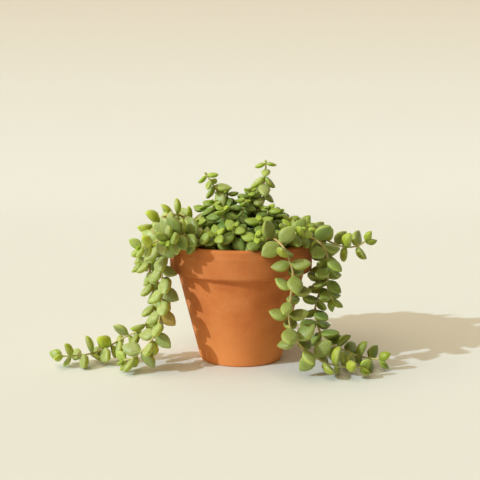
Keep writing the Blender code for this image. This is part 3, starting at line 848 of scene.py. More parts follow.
@dataclass(frozen=True)
class Terracotta:
    """Low-fired red earthenware, turned on a wheel and left unglazed: dry, matt and evenly warm.

    The clay fires in soft clouds of lighter and darker orange. Painted light from the floor's bounce makes it
    paler towards the foot, and painted shade makes the thick rim duller. Its grog shows as fine grains, iron
    in it as a few dark spots, and the turning leaves faint level rings.
    """

    name: str = "terracotta_unglazed"
    pale: str = "#da864b"
    warm: str = "#d37c41"
    deep: str = "#ca723b"
    # Painted light: the foot colour paints the floor's bounce light on the lower pot
    foot: str = "#f09854"
    # Painted shade: this darker colour paints shade on the thick rim at the top
    band_painted_shade: str = "#bc733e"
    grit: str = "#b35c2a"
    spot: str = "#5e2c14"
    bounce_light_up_to_mm: float = 42.0
    bounce_light_share: float = 0.8
    band_shade_from_mm: float = 66.0
    band_shade_above_mm: float = 72.0
    band_shade_share: float = 0.45
    cloud_mm: float = 16.0
    cloud_detail: float = 5.0
    cloud_roughness: float = 0.6
    cloud_range: tuple = (0.34, 0.68)
    grain_mm: float = 0.9
    grain_detail: float = 3.0
    grain_roughness: float = 0.7
    grain_range: tuple = (0.60, 0.74)
    grit_share: float = 0.5
    spot_every_mm: float = 7.0
    spot_mm: float = 0.35
    spot_rarity: float = 0.7
    ring_mm: float = 1.6
    ring_detail: float = 2.0
    ring_share: float = 0.8
    relief_mm: float = 0.12
    relief_strength: float = 0.45
    roughness: float = 0.86
    ior: float = 1.5
    gloss: float = 0.25

    def material(self) -> bpy.types.Material:
        """Return the finish as a material."""
        made, shader, place = new_material(self.name, {
            "Roughness": self.roughness, "IOR": self.ior, "Specular IOR Level": self.gloss})
        tree = made.node_tree
        clouds = add_node(tree, "ShaderNodeTexNoise", inputs={
            "Vector": place, "Scale": 1 / (self.cloud_mm * MM), "Detail": self.cloud_detail,
            "Roughness": self.cloud_roughness})
        body = add_node(tree, "ShaderNodeValToRGB", inputs={"Fac": clouds.outputs["Fac"]})
        ramp = body.color_ramp.elements
        ramp[0].position, ramp[1].position = self.cloud_range
        ramp[0].color = linear(self.deep)
        ramp[1].color = linear(self.pale)
        middle = ramp.new(0.5)
        middle.color = linear(self.warm)
        grains = add_node(tree, "ShaderNodeTexNoise", inputs={
            "Vector": place, "Scale": 1 / (self.grain_mm * MM), "Detail": self.grain_detail,
            "Roughness": self.grain_roughness})
        pits = add_node(tree, "ShaderNodeMapRange", inputs={
            "Value": grains.outputs["Fac"], "From Min": self.grain_range[0],
            "From Max": self.grain_range[1], "To Max": self.grit_share})
        height = add_node(tree, "ShaderNodeSeparateXYZ", inputs={0: place}).outputs["Z"]
        # Painted light: towards the foot the clay is mixed with the foot colour, which paints the floor's
        # bounce light
        low = add_node(tree, "ShaderNodeMapRange", inputs={
            "Value": height, "From Min": self.bounce_light_up_to_mm * MM, "From Max": 0.0,
            "To Max": self.bounce_light_share})
        fired = add_node(tree, "ShaderNodeMix", {"data_type": "RGBA"}, {
            MIX_SHARE: low.outputs[0], MIX_UNDER: body.outputs["Color"], MIX_OVER: linear(self.foot)})
        # Painted shade: above this height the clay is mixed towards the darker rim colour
        high = add_node(tree, "ShaderNodeMapRange", inputs={
            "Value": height, "From Min": self.band_shade_from_mm * MM, "From Max": self.band_shade_above_mm * MM,
            "To Max": self.band_shade_share})
        band_shaded = add_node(tree, "ShaderNodeMix", {"data_type": "RGBA"}, {
            MIX_SHARE: high.outputs[0], MIX_UNDER: fired.outputs[MIXED], MIX_OVER: linear(self.band_painted_shade)})
        colour = add_node(tree, "ShaderNodeMix", {"data_type": "RGBA"}, {
            MIX_SHARE: pits.outputs[0], MIX_UNDER: band_shaded.outputs[MIXED], MIX_OVER: linear(self.grit)})
        cells = add_node(tree, "ShaderNodeTexVoronoi", inputs={
            "Vector": place, "Scale": 1 / (self.spot_every_mm * MM)})
        near = add_node(tree, "ShaderNodeMath", {"operation": "LESS_THAN"}, {
            0: cells.outputs["Distance"], 1: self.spot_mm / self.spot_every_mm})
        chance = add_node(tree, "ShaderNodeSeparateColor", inputs={0: cells.outputs["Color"]})
        iron = add_node(tree, "ShaderNodeMath", {"operation": "GREATER_THAN"}, {
            0: chance.outputs["Red"], 1: self.spot_rarity})
        spots = add_node(tree, "ShaderNodeMath", {"operation": "MULTIPLY"}, {
            0: near.outputs[0], 1: iron.outputs[0]})
        spotted = add_node(tree, "ShaderNodeMix", {"data_type": "RGBA"}, {
            MIX_SHARE: spots.outputs[0], MIX_UNDER: colour.outputs[MIXED], MIX_OVER: linear(self.spot)})
        tree.links.new(spotted.outputs[MIXED], shader.inputs["Base Color"])
        rings = add_node(tree, "ShaderNodeTexNoise", {"noise_dimensions": "1D"}, {
            "W": height, "Scale": 1 / (self.ring_mm * MM), "Detail": self.ring_detail})
        relief = add_node(tree, "ShaderNodeMath", {"operation": "MULTIPLY_ADD"}, {
            0: rings.outputs["Fac"], 1: self.ring_share, 2: grains.outputs["Fac"]})
        bump = add_node(tree, "ShaderNodeBump", inputs={
            "Height": relief.outputs[0], "Strength": self.relief_strength,
            "Distance": self.relief_mm * MM})
        tree.links.new(bump.outputs["Normal"], shader.inputs["Normal"])
        return made


@dataclass(frozen=True)
class PottingSoil:
    """Sieved compost and fine grit, damp and near black, which drinks most of the light."""

    name: str = "potting_soil_crumbs"
    dark: str = "#2a1d12"
    brown: str = "#54402a"
    crumb_mm: float = 1.6
    crumb_detail: float = 4.0
    relief_mm: float = 0.4
    relief_strength: float = 0.8
    roughness: float = 0.95

    def material(self) -> bpy.types.Material:
        """Return the finish as a material."""
        made, shader, place = new_material(self.name, {"Roughness": self.roughness})
        tree = made.node_tree
        crumbs = add_node(tree, "ShaderNodeTexNoise", inputs={
            "Vector": place, "Scale": 1 / (self.crumb_mm * MM), "Detail": self.crumb_detail})
        colour = add_node(tree, "ShaderNodeMix", {"data_type": "RGBA"}, {
            MIX_SHARE: crumbs.outputs["Fac"], MIX_UNDER: linear(self.dark), MIX_OVER: linear(self.brown)})
        tree.links.new(colour.outputs[MIXED], shader.inputs["Base Color"])
        bump = add_node(tree, "ShaderNodeBump", inputs={
            "Height": crumbs.outputs["Fac"], "Strength": self.relief_strength,
            "Distance": self.relief_mm * MM})
        tree.links.new(bump.outputs["Normal"], shader.inputs["Normal"])
        return made


@dataclass(frozen=True)
class LeafSkin:
    """Skin of a water-filled leaf under a thin wax bloom.

    The wax greys the upper face, the thick rim and the keel show the yellow-green flesh that light passes
    into, brightened on the keel with painted glow and on the rim with a painted highlight, and the newest
    leaves have little wax and are brighter. Painted shade thins the wax and darkens and greens the leaves
    inside the crown and on the stems in the plant's own shade.
    """

    name: str = "succulent_leaf_wax"
    bloom: str = "#aab56e"
    flesh: str = "#82942c"
    # Partly painted light: the keel's yellow-green flesh is brightened to paint the glow of light through the
    # leaf
    keel: str = "#bac640"
    # Partly painted highlight: the pale yellow-green edge also paints light catching the rim
    rim: str = "#c3c868"
    young: str = "#a2b63a"
    # Painted shade: the next two colours paint the shade in and behind the crown, on faces and in the gaps
    painted_shade: str = "#708c3e"
    painted_gap_shade: str = "#203f02"
    stalk: str = "#c2c668"
    blush: str = "#c88c30"
    patch_mm: float = 5.0
    patch_detail: float = 3.0
    patch_range: tuple = (0.36, 0.58)
    patch_share: float = 4.0
    least_wax: float = 0.5
    speck_mm: float = 1.0
    speck_detail: float = 2.0
    speck_range: tuple = (0.32, 0.68)
    speck_tones: tuple = (0.88, 1.12)
    leaf_tones: tuple = (0.86, 1.12)
    relief_mm: float = 0.12
    relief_strength: float = 0.8
    roughness: float = 0.42
    ior: float = 1.42
    glow: float = 0.5
    glow_mm: float = 3.5
    glow_spread: tuple = (0.6, 1.0, 0.1)
    sheen: float = 0.06
    # The value of its attribute at which a colour starts to show, that at which it shows most, and
    # its share there
    under_shows: tuple = (0.35, 0.95, 1.0)
    painted_shade_shows: tuple = (0.0, 1.0, 1.0)
    rim_shows: tuple = (0.72, 1.0, 0.45)
    blush_shows: tuple = (0.0, 1.0, 1.0)
    youth_shows: tuple = (0.3, 1.0, 0.8)
    stalk_shows: tuple = (0.16, 0.0, 0.8)

    def material(self) -> bpy.types.Material:
        """Return the finish as a material that reads the attributes of the leaf shape."""
        made, shader, place = new_material(self.name, {
            "Roughness": self.roughness, "IOR": self.ior, "Sheen Weight": self.sheen,
            "Subsurface Weight": self.glow, "Subsurface Radius": self.glow_spread,
            "Subsurface Scale": self.glow_mm * MM})
        tree = made.node_tree
        patches = add_node(tree, "ShaderNodeTexNoise", inputs={
            "Vector": place, "Scale": 1 / (self.patch_mm * MM), "Detail": self.patch_detail})
        specks = add_node(tree, "ShaderNodeTexNoise", inputs={
            "Vector": place, "Scale": 1 / (self.speck_mm * MM), "Detail": self.speck_detail})
        waxy = add_node(tree, "ShaderNodeMapRange", inputs={
            "Value": patches.outputs["Fac"], "From Min": self.patch_range[0],
            "From Max": self.patch_range[1], "To Min": self.least_wax})
        # The depth attribute carries painted shade: it thins the wax and mixes in the painted shade colours
        depth = add_node(tree, "ShaderNodeAttribute", {"attribute_name": "depth"})
        sunny = add_node(tree, "ShaderNodeMath", {"operation": "SUBTRACT"}, {0: 1.0, 1: depth.outputs["Fac"]})
        wax = add_node(tree, "ShaderNodeMath", {"operation": "MULTIPLY"}, {
            0: waxy.outputs[0], 1: sunny.outputs[0]})
        waxed = add_node(tree, "ShaderNodeMix", {"data_type": "RGBA"}, {
            MIX_SHARE: wax.outputs[0], MIX_UNDER: linear(self.flesh), MIX_OVER: linear(self.bloom)})
        # Partly painted light: the keel colour on the undersides paints the glow of light through the leaf
        sunlit = self.layered(tree, waxed.outputs[MIXED], ("under", *self.under_shows, linear(self.keel)))
        # Painted shade, with darker painted shade in the gaps on the undersides
        painted_shade_colour = self.layered(tree, linear(self.painted_shade), ("under", *self.under_shows, linear(self.painted_gap_shade)))
        # The depth layer is painted shade and the rim layer is partly a painted highlight
        colour = self.layered(
            tree, sunlit,
            ("depth", *self.painted_shade_shows, painted_shade_colour),
            ("rim", *self.rim_shows, linear(self.rim)),
            ("blush", *self.blush_shows, linear(self.blush)),
            ("youth", *self.youth_shows, linear(self.young)),
            ("reach", *self.stalk_shows, linear(self.stalk)))
        tone = add_node(tree, "ShaderNodeAttribute", {"attribute_name": "tone"}).outputs["Fac"]
        light = add_node(tree, "ShaderNodeMapRange", inputs={
            "Value": tone, "To Min": self.leaf_tones[0], "To Max": self.leaf_tones[1]})
        mottle = add_node(tree, "ShaderNodeMapRange", inputs={
            "Value": specks.outputs["Fac"], "From Min": self.speck_range[0], "From Max": self.speck_range[1],
            "To Min": self.speck_tones[0], "To Max": self.speck_tones[1]})
        value = add_node(tree, "ShaderNodeMath", {"operation": "MULTIPLY"}, {
            0: light.outputs[0], 1: mottle.outputs[0]})
        shade = add_node(tree, "ShaderNodeHueSaturation", inputs={"Value": value.outputs[0], "Color": colour})
        tree.links.new(shade.outputs["Color"], shader.inputs["Base Color"])
        uneven = add_node(tree, "ShaderNodeMath", {"operation": "MULTIPLY_ADD"}, {
            0: patches.outputs["Fac"], 1: self.patch_share, 2: specks.outputs["Fac"]})
        bump = add_node(tree, "ShaderNodeBump", inputs={
            "Height": uneven.outputs[0], "Strength": self.relief_strength,
            "Distance": self.relief_mm * MM})
        tree.links.new(bump.outputs["Normal"], shader.inputs["Normal"])
        return made

    @staticmethod
    def layered(tree: bpy.types.NodeTree, colour: object,
                *layers: tuple[str, float, float, float, object]) -> bpy.types.NodeSocket:
        """Lay colours over a colour, each where an attribute of the leaf lets it show.

        Args:
            tree: The material's tree.
            colour: The colour below them all.
            layers: For each, the attribute, the values at which it starts to show and shows most, its
                share there, and its colour.

        Returns:
            The colour that they give together.
        """
        for attribute, start, end, most, over in layers:
            value = add_node(tree, "ShaderNodeAttribute", {"attribute_name": attribute})
            share = add_node(tree, "ShaderNodeMapRange", inputs={
                "Value": value.outputs["Fac"], "From Min": start, "From Max": end, "To Max": most})
            mix = add_node(tree, "ShaderNodeMix", {"data_type": "RGBA"}, {
                MIX_SHARE: share.outputs[0], MIX_UNDER: colour, MIX_OVER: over})
            colour = mix.outputs[MIXED]
        return colour


@dataclass(frozen=True)
class StemSkin:
    """Thin skin of a juicy stem: yellow-green at the tip, drying to pinkish tan towards the root."""

    name: str = "succulent_stem_skin"
    fresh: str = "#c6c878"
    tan: str = "#bca468"
    scar: str = "#966f48"
    scar_mm: float = 2.4
    scar_detail: float = 3.0
    scar_range: tuple = (0.52, 0.72)
    scar_share: float = 0.45
    relief_mm: float = 0.1
    relief_strength: float = 0.3
    roughness: float = 0.55
    glow: float = 0.4
    glow_mm: float = 1.0
    glow_spread: tuple = (1.0, 0.8, 0.3)

    def material(self) -> bpy.types.Material:
        """Return the finish as a material that reads the stem's youth."""
        made, shader, place = new_material(self.name, {
            "Roughness": self.roughness, "Subsurface Weight": self.glow,
            "Subsurface Radius": self.glow_spread, "Subsurface Scale": self.glow_mm * MM})
        tree = made.node_tree
        youth = add_node(tree, "ShaderNodeAttribute", {"attribute_name": "youth"}).outputs["Fac"]
        colour = add_node(tree, "ShaderNodeMix", {"data_type": "RGBA"}, {
            MIX_SHARE: youth, MIX_UNDER: linear(self.tan), MIX_OVER: linear(self.fresh)})
        marks = add_node(tree, "ShaderNodeTexNoise", inputs={
            "Vector": place, "Scale": 1 / (self.scar_mm * MM), "Detail": self.scar_detail})
        scars = add_node(tree, "ShaderNodeMapRange", inputs={
            "Value": marks.outputs["Fac"], "From Min": self.scar_range[0],
            "From Max": self.scar_range[1], "To Max": self.scar_share})
        worn = add_node(tree, "ShaderNodeMix", {"data_type": "RGBA"}, {
            MIX_SHARE: scars.outputs[0], MIX_UNDER: colour.outputs[MIXED], MIX_OVER: linear(self.scar)})
        tree.links.new(worn.outputs[MIXED], shader.inputs["Base Color"])
        bump = add_node(tree, "ShaderNodeBump", inputs={
            "Height": marks.outputs["Fac"], "Strength": self.relief_strength,
            "Distance": self.relief_mm * MM})
        tree.links.new(bump.outputs["Normal"], shader.inputs["Normal"])
        return made


@dataclass(frozen=True)
class PaperSweep:
    """Matt cream paper of the studio's seamless floor and back, warmer up the back than on the floor."""

    name: str = "cream_paper"
    floor: str = "#dee1dc"
    back: str = "#dcd2c1"
    back_above: float = 0.5
    roughness: float = 0.9
    gloss: float = 0.1

    def material(self) -> bpy.types.Material:
        """Return the finish as a material that turns to the back's colour by its height."""
        made, shader, place = new_material(self.name, {
            "Roughness": self.roughness, "Specular IOR Level": self.gloss})
        tree = made.node_tree
        height = add_node(tree, "ShaderNodeSeparateXYZ", inputs={0: place}).outputs["Z"]
        share = add_node(tree, "ShaderNodeMapRange", inputs={
            "Value": height, "From Max": self.back_above})
        colour = add_node(tree, "ShaderNodeMix", {"data_type": "RGBA"}, {
            MIX_SHARE: share.outputs[0], MIX_UNDER: linear(self.floor), MIX_OVER: linear(self.back)})
        tree.links.new(colour.outputs[MIXED], shader.inputs["Base Color"])
        return made


def new_piece(name: str, mesh: bpy.types.Mesh, node: str) -> bpy.types.Object:
    """Put a finished mesh into the scene as a piece that stands for a CAD node.

    Args:
        name: The piece's name.
        mesh: Its mesh, in metres in the row frame.
        node: The CAD node that it replaces.

    Returns:
        The piece.
    """
    mesh.name = name
    piece = bpy.data.objects.new(name, mesh)
    bpy.context.scene.collection.objects.link(piece)
    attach(piece, BODY)
    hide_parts(node)
    LOG.info("%s: %d faces", name, len(mesh.polygons))
    return piece


def shape_mesh(name: str, shape: Shape, material: bpy.types.Material | None = None) -> bpy.types.Mesh:
    """Make a smooth mesh of points and faces.

    Args:
        name: The mesh's name.
        shape: Points in metres, and faces.
        material: Its finish, if it has one.

    Returns:
        The mesh.
    """
    mesh = bpy.data.meshes.new(name)
    mesh.from_pydata(shape[0], [], shape[1])
    mesh.shade_smooth()
    if material:
        mesh.materials.append(material)
    return mesh


def store(mesh: bpy.types.Mesh, name: str, kind: str, values: list) -> None:
    """Keep a value for each point of a mesh.

    Args:
        mesh: The mesh.
        name: The attribute's name.
        kind: FLOAT, BOOLEAN or FLOAT_VECTOR.
        values: One value for each point.
    """
    layer = mesh.attributes.new(name, kind, "POINT")
    if kind == "FLOAT_VECTOR":
        layer.data.foreach_set("vector", [part for value in values for part in value])
    else:
        layer.data.foreach_set("value", values)


def grown_mesh(host: bpy.types.Object, tree: bpy.types.NodeTree, inputs: dict[str, object]) -> bpy.types.Mesh:
    """Run a geometry tree on a host object and keep only the mesh that it makes.

    Args:
        host: The object that carries the tree's input, which is removed.
        tree: The geometry tree.
        inputs: The tree's inputs by name.

    Returns:
        The plain mesh.
    """
    modifier = host.modifiers.new("grow", "NODES")
    modifier.node_group = tree
    for item in tree.interface.items_tree:
        if item.in_out == "INPUT" and item.name in inputs:
            modifier[item.identifier] = inputs[item.name]
    graph = bpy.context.evaluated_depsgraph_get()
    mesh = bpy.data.meshes.new_from_object(
        host.evaluated_get(graph), preserve_all_data_layers=True, depsgraph=graph)
    host.modifiers.remove(modifier)
    bpy.data.objects.remove(host)
    return mesh


def geometry_tree(name: str, inputs: list[tuple[str, str]]) -> tuple[bpy.types.NodeTree, bpy.types.Node]:
    """Start a geometry tree with named inputs.

    Args:
        name: The tree's name.
        inputs: Name and socket type of each input after the geometry.

    Returns:
        The tree and its input node.
    """
    tree = bpy.data.node_groups.new(name, "GeometryNodeTree")
    tree.interface.new_socket("Geometry", in_out="INPUT", socket_type="NodeSocketGeometry")
    for label, kind in inputs:
        tree.interface.new_socket(label, in_out="INPUT", socket_type=kind)
    tree.interface.new_socket("Geometry", in_out="OUTPUT", socket_type="NodeSocketGeometry")
    return tree, add_node(tree, "NodeGroupInput")


@dataclass
class LeafBlade:
    """The shape that every leaf repeats, of length 1 along X with its upper face to +Z.

    Each station is a share of the length with the width and depth there. The section goes round from
    the middle of the upper face over one rim to the keel: side, height, nearness to the rim and share
    of the underside. The other half mirrors it.
    """

    half_width: float
    depth: float
    stations: tuple = ((-0.03, 0.15, 0.22), (0.07, 0.27, 0.44), (0.18, 0.68, 0.78), (0.32, 0.96, 1.0),
                       (0.50, 1.01, 1.04), (0.68, 0.86, 0.93), (0.83, 0.555, 0.69), (0.93, 0.265, 0.37))
    section: tuple = ((0.0, 0.22, 0.0, 0.0), (0.55, 0.20, 0.2, 0.0), (0.89, 0.06, 0.8, 0.2),
                      (1.0, -0.22, 1.0, 0.55), (0.76, -0.78, 0.3, 1.0), (0.0, -1.06, 0.0, 1.0))

    def ring(self) -> list[tuple[float, float, float, float]]:
        """Return the whole section, once round."""
        other = [(-side, height, rim, under) for side, height, rim, under in self.section[-2:0:-1]]
        return list(self.section) + other

    def object(self) -> bpy.types.Object:
        """Return the leaf as an object that the stems repeat."""
        ring = self.ring()
        count = len(ring)
        points = []
        facts = []
        for share, width, depth in self.stations:
            for side, height, rim, under in ring:
                points.append(Vector((share, side * width * self.half_width, height * depth * self.depth)))
                facts.append((rim, under, share))
        points.append(Vector((1.0, 0.0, 0.0)))
        facts.append((1.0, 0.5, 1.0))
        faces = [tuple(range(count))] + joined_rings(len(self.stations), count, flipped=True)
        last = len(points) - 1 - count
        faces += [(last + k, last + count, last + (k + 1) % count) for k in range(count)]
        mesh = shape_mesh("leaf_blade", (points, faces))
        for n, name in enumerate(("rim", "under", "reach")):
            store(mesh, name, "FLOAT", [fact[n] for fact in facts])
        blade = bpy.data.objects.new("leaf_blade", mesh)
        bpy.context.scene.collection.objects.link(blade)
        return blade


@dataclass
class Plant:
    """All the leafy stems, each grown by one geometry tree from its line and the places of its leaves.

    Attributes:
        growth: The rule that gives the stems and their leaves.
        axis: The pot's axis at the floor.
        leaf_finish: The finish of the leaves.
        stem_finish: The finish of the bare stems.
        tube_sides: How many sides a bare stem has.
        slimness: A bare stem's thickness as a share of the CAD's.
        knot_swell: How much thicker the stem is where leaves sit, as a share.
        knot_length: How far that swelling reaches, in millimetres.
        heart_leaves: How many tiny leaves stand unopened at a stem's tip.
        heart_spread: The least and the most that they lean out.
        heart_size: Their least and greatest size, as a share of a full leaf.
        breadth_jitter: The least and greatest breadth of a leaf, as a share of the usual one.
        thickness_jitter: The same for its thickness.
        crown_reach: How far from the axis the crown's painted shade reaches, in millimetres.
        crown_painted_shade: How much painted shade even its outermost leaves get.
        young_light: How much less of it the newest leaves show.
        seed: The seed of the draws for what differs from leaf to leaf.
    """

    growth: Growth
    axis: Vector
    leaf_finish: bpy.types.Material
    stem_finish: bpy.types.Material
    tube_sides: int = 8
    slimness: float = 0.82
    knot_swell: float = 0.28
    knot_length: float = 1.3
    heart_leaves: int = 4
    heart_spread: tuple = (0.25, 0.5)
    heart_size: tuple = (0.10, 0.16)
    breadth_jitter: tuple = (0.9, 1.06)
    thickness_jitter: tuple = (0.85, 1.1)
    crown_reach: float = 52.0
    crown_painted_shade: float = 0.6
    young_light: float = 0.35
    seed: int = 404

    def build(self) -> None:
        """Grow every stem and put it into the scene."""
        blade = LeafBlade(self.growth.leaf_half_width, self.growth.leaf_depth).object()
        tree = self.stem_tree()
        draw = random.Random(self.seed)
        for stem in self.growth.stems():
            mesh = grown_mesh(self.host(stem, draw), tree, {
                "Leaf": blade, "Tube sides": self.tube_sides,
                "Leaf finish": self.leaf_finish, "Stem finish": self.stem_finish})
            new_piece(f"{stem.name}_leafy", mesh, stem.name)
        bpy.data.objects.remove(blade)

    def heart(self, stem: Stem, draw: random.Random) -> list[Leaf]:
        """Return the tiny unopened leaves at the heart of a stem's tip."""
        place, along, side = stem.route.at(stem.route.length)
        over = along.cross(side)
        leaves = []
        for n in range(self.heart_leaves):
            angle = math.radians(stem.turn + 90 * n + 45)
            away = side * math.cos(angle) + over * math.sin(angle)
            out = (along + away * draw.uniform(*self.heart_spread)).normalized()
            face = (-away + out * away.dot(out)).normalized()
            length = self.growth.leaf_length * draw.uniform(*self.heart_size)
            leaves.append(Leaf(place, out, face, length, 0.0, True, youth=1.0))
        return leaves

    def host(self, stem: Stem, draw: random.Random) -> bpy.types.Object:
        """Make the object that carries a stem's line and the places of its leaves.

        Args:
            stem: The stem with its leaves.
            draw: Draws for what differs from leaf to leaf.

        Returns:
            The object, with an edge for each step of the line and a loose point for each leaf.
        """
        route = stem.route
        leaves = stem.leaves + self.heart(stem, draw)
        line = len(route.points)
        places = [place * MM + self.axis for place in route.points + [leaf.place for leaf in leaves]]
        mesh = bpy.data.meshes.new(stem.name)
        mesh.from_pydata(places, [(n, n + 1) for n in range(line - 1)], [])
        lengths = [leaf.length * MM for leaf in leaves]
        bends = [leaf.face * (-leaf.droop * leaf.length * MM) for leaf in leaves]
        scales = []
        for size in lengths:
            breadth = size * draw.uniform(*self.breadth_jitter)
            thickness = size * draw.uniform(*self.thickness_jitter)
            scales.append(Vector((size, breadth, thickness)))
        store(mesh, "is_leaf", "BOOLEAN", [False] * line + [True] * len(leaves))
        store(mesh, "thick", "FLOAT", self.radii(stem) + [0.0] * len(leaves))
        store(mesh, "youth", "FLOAT", self.freshness(route) + [leaf.youth for leaf in leaves])
        store(mesh, "tone", "FLOAT", [0.5] * line + [draw.random() for leaf in leaves])
        store(mesh, "blush", "FLOAT", [0.0] * line + self.blush(stem, leaves))
        # The depth attribute is each leaf's painted shade
        store(mesh, "depth", "FLOAT", [0.0] * line + [self.depth(stem, leaf) for leaf in leaves])
        nothing = [Vector()] * line
        store(mesh, "out", "FLOAT_VECTOR", nothing + [leaf.out for leaf in leaves])
        store(mesh, "face", "FLOAT_VECTOR", nothing + [leaf.face for leaf in leaves])
        store(mesh, "size", "FLOAT_VECTOR", nothing + scales)
        store(mesh, "bend", "FLOAT_VECTOR", nothing + bends)
        host = bpy.data.objects.new(stem.name + "_host", mesh)
        bpy.context.scene.collection.objects.link(host)
        return host

    def radii(self, stem: Stem) -> list[float]:
        """Return the stem's radius at each point of its line, in metres, thicker where leaves sit."""
        growth = self.growth
        route = stem.route
        radii = []
        for distance in route.reach:
            share = distance / route.length
            radius = growth.stem_radius + (growth.stem_tip_radius - growth.stem_radius) * share
            nearest = min(abs(distance - pair[0]) for pair in stem.pairs)
            radius *= 1 + self.knot_swell * math.exp(-(nearest / self.knot_length) ** 2)
            radii.append(radius * self.slimness * MM)
        return radii

    @staticmethod
    def blush(stem: Stem, leaves: list[Leaf]) -> list[float]:
        """Return how orange each leaf is."""
        shares = [STEM_BLUSH.get(stem.name, 0.0)] * len(leaves)
        if stem.name in AGEING_LEAF:
            spot, orange = AGEING_LEAF[stem.name]
            gaps = [(leaf.place + leaf.out * (leaf.length / 2) - Vector(spot)).length for leaf in leaves]
            shares[gaps.index(min(gaps))] = orange
        return shares

    def depth(self, stem: Stem, leaf: Leaf) -> float:
        """Return how much painted shade a leaf gets, more inside the crown: 0 in the sun to 1."""
        if stem.habit is not CROWNED:
            return STEM_PAINTED_SHADE.get(stem.name, 0.0)
        inside = 1 - min(1.0, Vector((leaf.place.x, leaf.place.y)).length / self.crown_reach)
        return min(1.0, self.crown_painted_shade + inside) * (1 - self.young_light * leaf.youth)

    @staticmethod
    def freshness(route: Route) -> list[float]:
        """Return how young the stem is at each point of its line, 1 at the tip."""
        return [(distance / route.length) ** 2 for distance in route.reach]

    @staticmethod
    def stem_tree() -> bpy.types.NodeTree:
        """Return the geometry tree that makes a tube of the line and sets a leaf on each loose point."""
        tree, source = geometry_tree("leafy_stem", [
            ("Leaf", "NodeSocketObject"), ("Tube sides", "NodeSocketInt"),
            ("Leaf finish", "NodeSocketMaterial"), ("Stem finish", "NodeSocketMaterial")])

        stored = {}
        for name, kind in (("is_leaf", "BOOLEAN"), ("thick", "FLOAT"), ("reach", "FLOAT"),
                           ("out", "FLOAT_VECTOR"), ("face", "FLOAT_VECTOR"), ("size", "FLOAT_VECTOR"),
                           ("bend", "FLOAT_VECTOR")):
            node = add_node(tree, "GeometryNodeInputNamedAttribute", {"data_type": kind}, {"Name": name})
            stored[name] = node.outputs["Attribute"]
        parts = add_node(tree, "GeometryNodeSeparateGeometry", inputs={
            "Geometry": source.outputs["Geometry"], "Selection": stored["is_leaf"]})
        line = add_node(tree, "GeometryNodeMeshToCurve", inputs={"Mesh": parts.outputs["Inverted"]})
        circle = add_node(tree, "GeometryNodeCurvePrimitiveCircle", inputs={
            "Resolution": source.outputs["Tube sides"], "Radius": 1.0})
        tube = add_node(tree, "GeometryNodeCurveToMesh", inputs={
            "Curve": line.outputs["Curve"], "Profile Curve": circle.outputs["Curve"],
            "Scale": stored["thick"], "Fill Caps": True})
        smooth = add_node(tree, "GeometryNodeSetShadeSmooth", inputs={"Geometry": tube.outputs["Mesh"]})
        places = add_node(tree, "GeometryNodeMeshToPoints", inputs={"Mesh": parts.outputs["Selection"]})
        blade = add_node(tree, "GeometryNodeObjectInfo", inputs={"Object": source.outputs["Leaf"]})
        pose = add_node(tree, "FunctionNodeAxesToRotation", {"primary_axis": "X", "secondary_axis": "Z"}, {
            "Primary Axis": stored["out"], "Secondary Axis": stored["face"]})
        leaves = add_node(tree, "GeometryNodeInstanceOnPoints", inputs={
            "Points": places.outputs["Points"], "Instance": blade.outputs["Geometry"],
            "Rotation": pose.outputs["Rotation"], "Scale": stored["size"]})
        both = add_node(tree, "GeometryNodeJoinGeometry")
        tree.links.new(smooth.outputs["Geometry"], both.inputs["Geometry"])
        tree.links.new(leaves.outputs["Instances"], both.inputs["Geometry"])
        real = add_node(tree, "GeometryNodeRealizeInstances", inputs={"Geometry": both.outputs["Geometry"]})
        square = add_node(tree, "ShaderNodeMath", {"operation": "MULTIPLY"}, {
            0: stored["reach"], 1: stored["reach"]})
        shift = add_node(tree, "ShaderNodeVectorMath", {"operation": "SCALE"}, {
            0: stored["bend"], "Scale": square.outputs[0]})
        bent = add_node(tree, "GeometryNodeSetPosition", inputs={
            "Geometry": real.outputs["Geometry"], "Offset": shift.outputs[0]})
        skin = add_node(tree, "GeometryNodeSetMaterial", inputs={
            "Geometry": bent.outputs["Geometry"], "Material": source.outputs["Stem finish"]})
        flesh = add_node(tree, "GeometryNodeSetMaterial", inputs={
            "Geometry": skin.outputs["Geometry"], "Selection": stored["is_leaf"],
            "Material": source.outputs["Leaf finish"]})
        add_node(tree, "NodeGroupOutput", inputs={"Geometry": flesh.outputs["Geometry"]})
        return tree


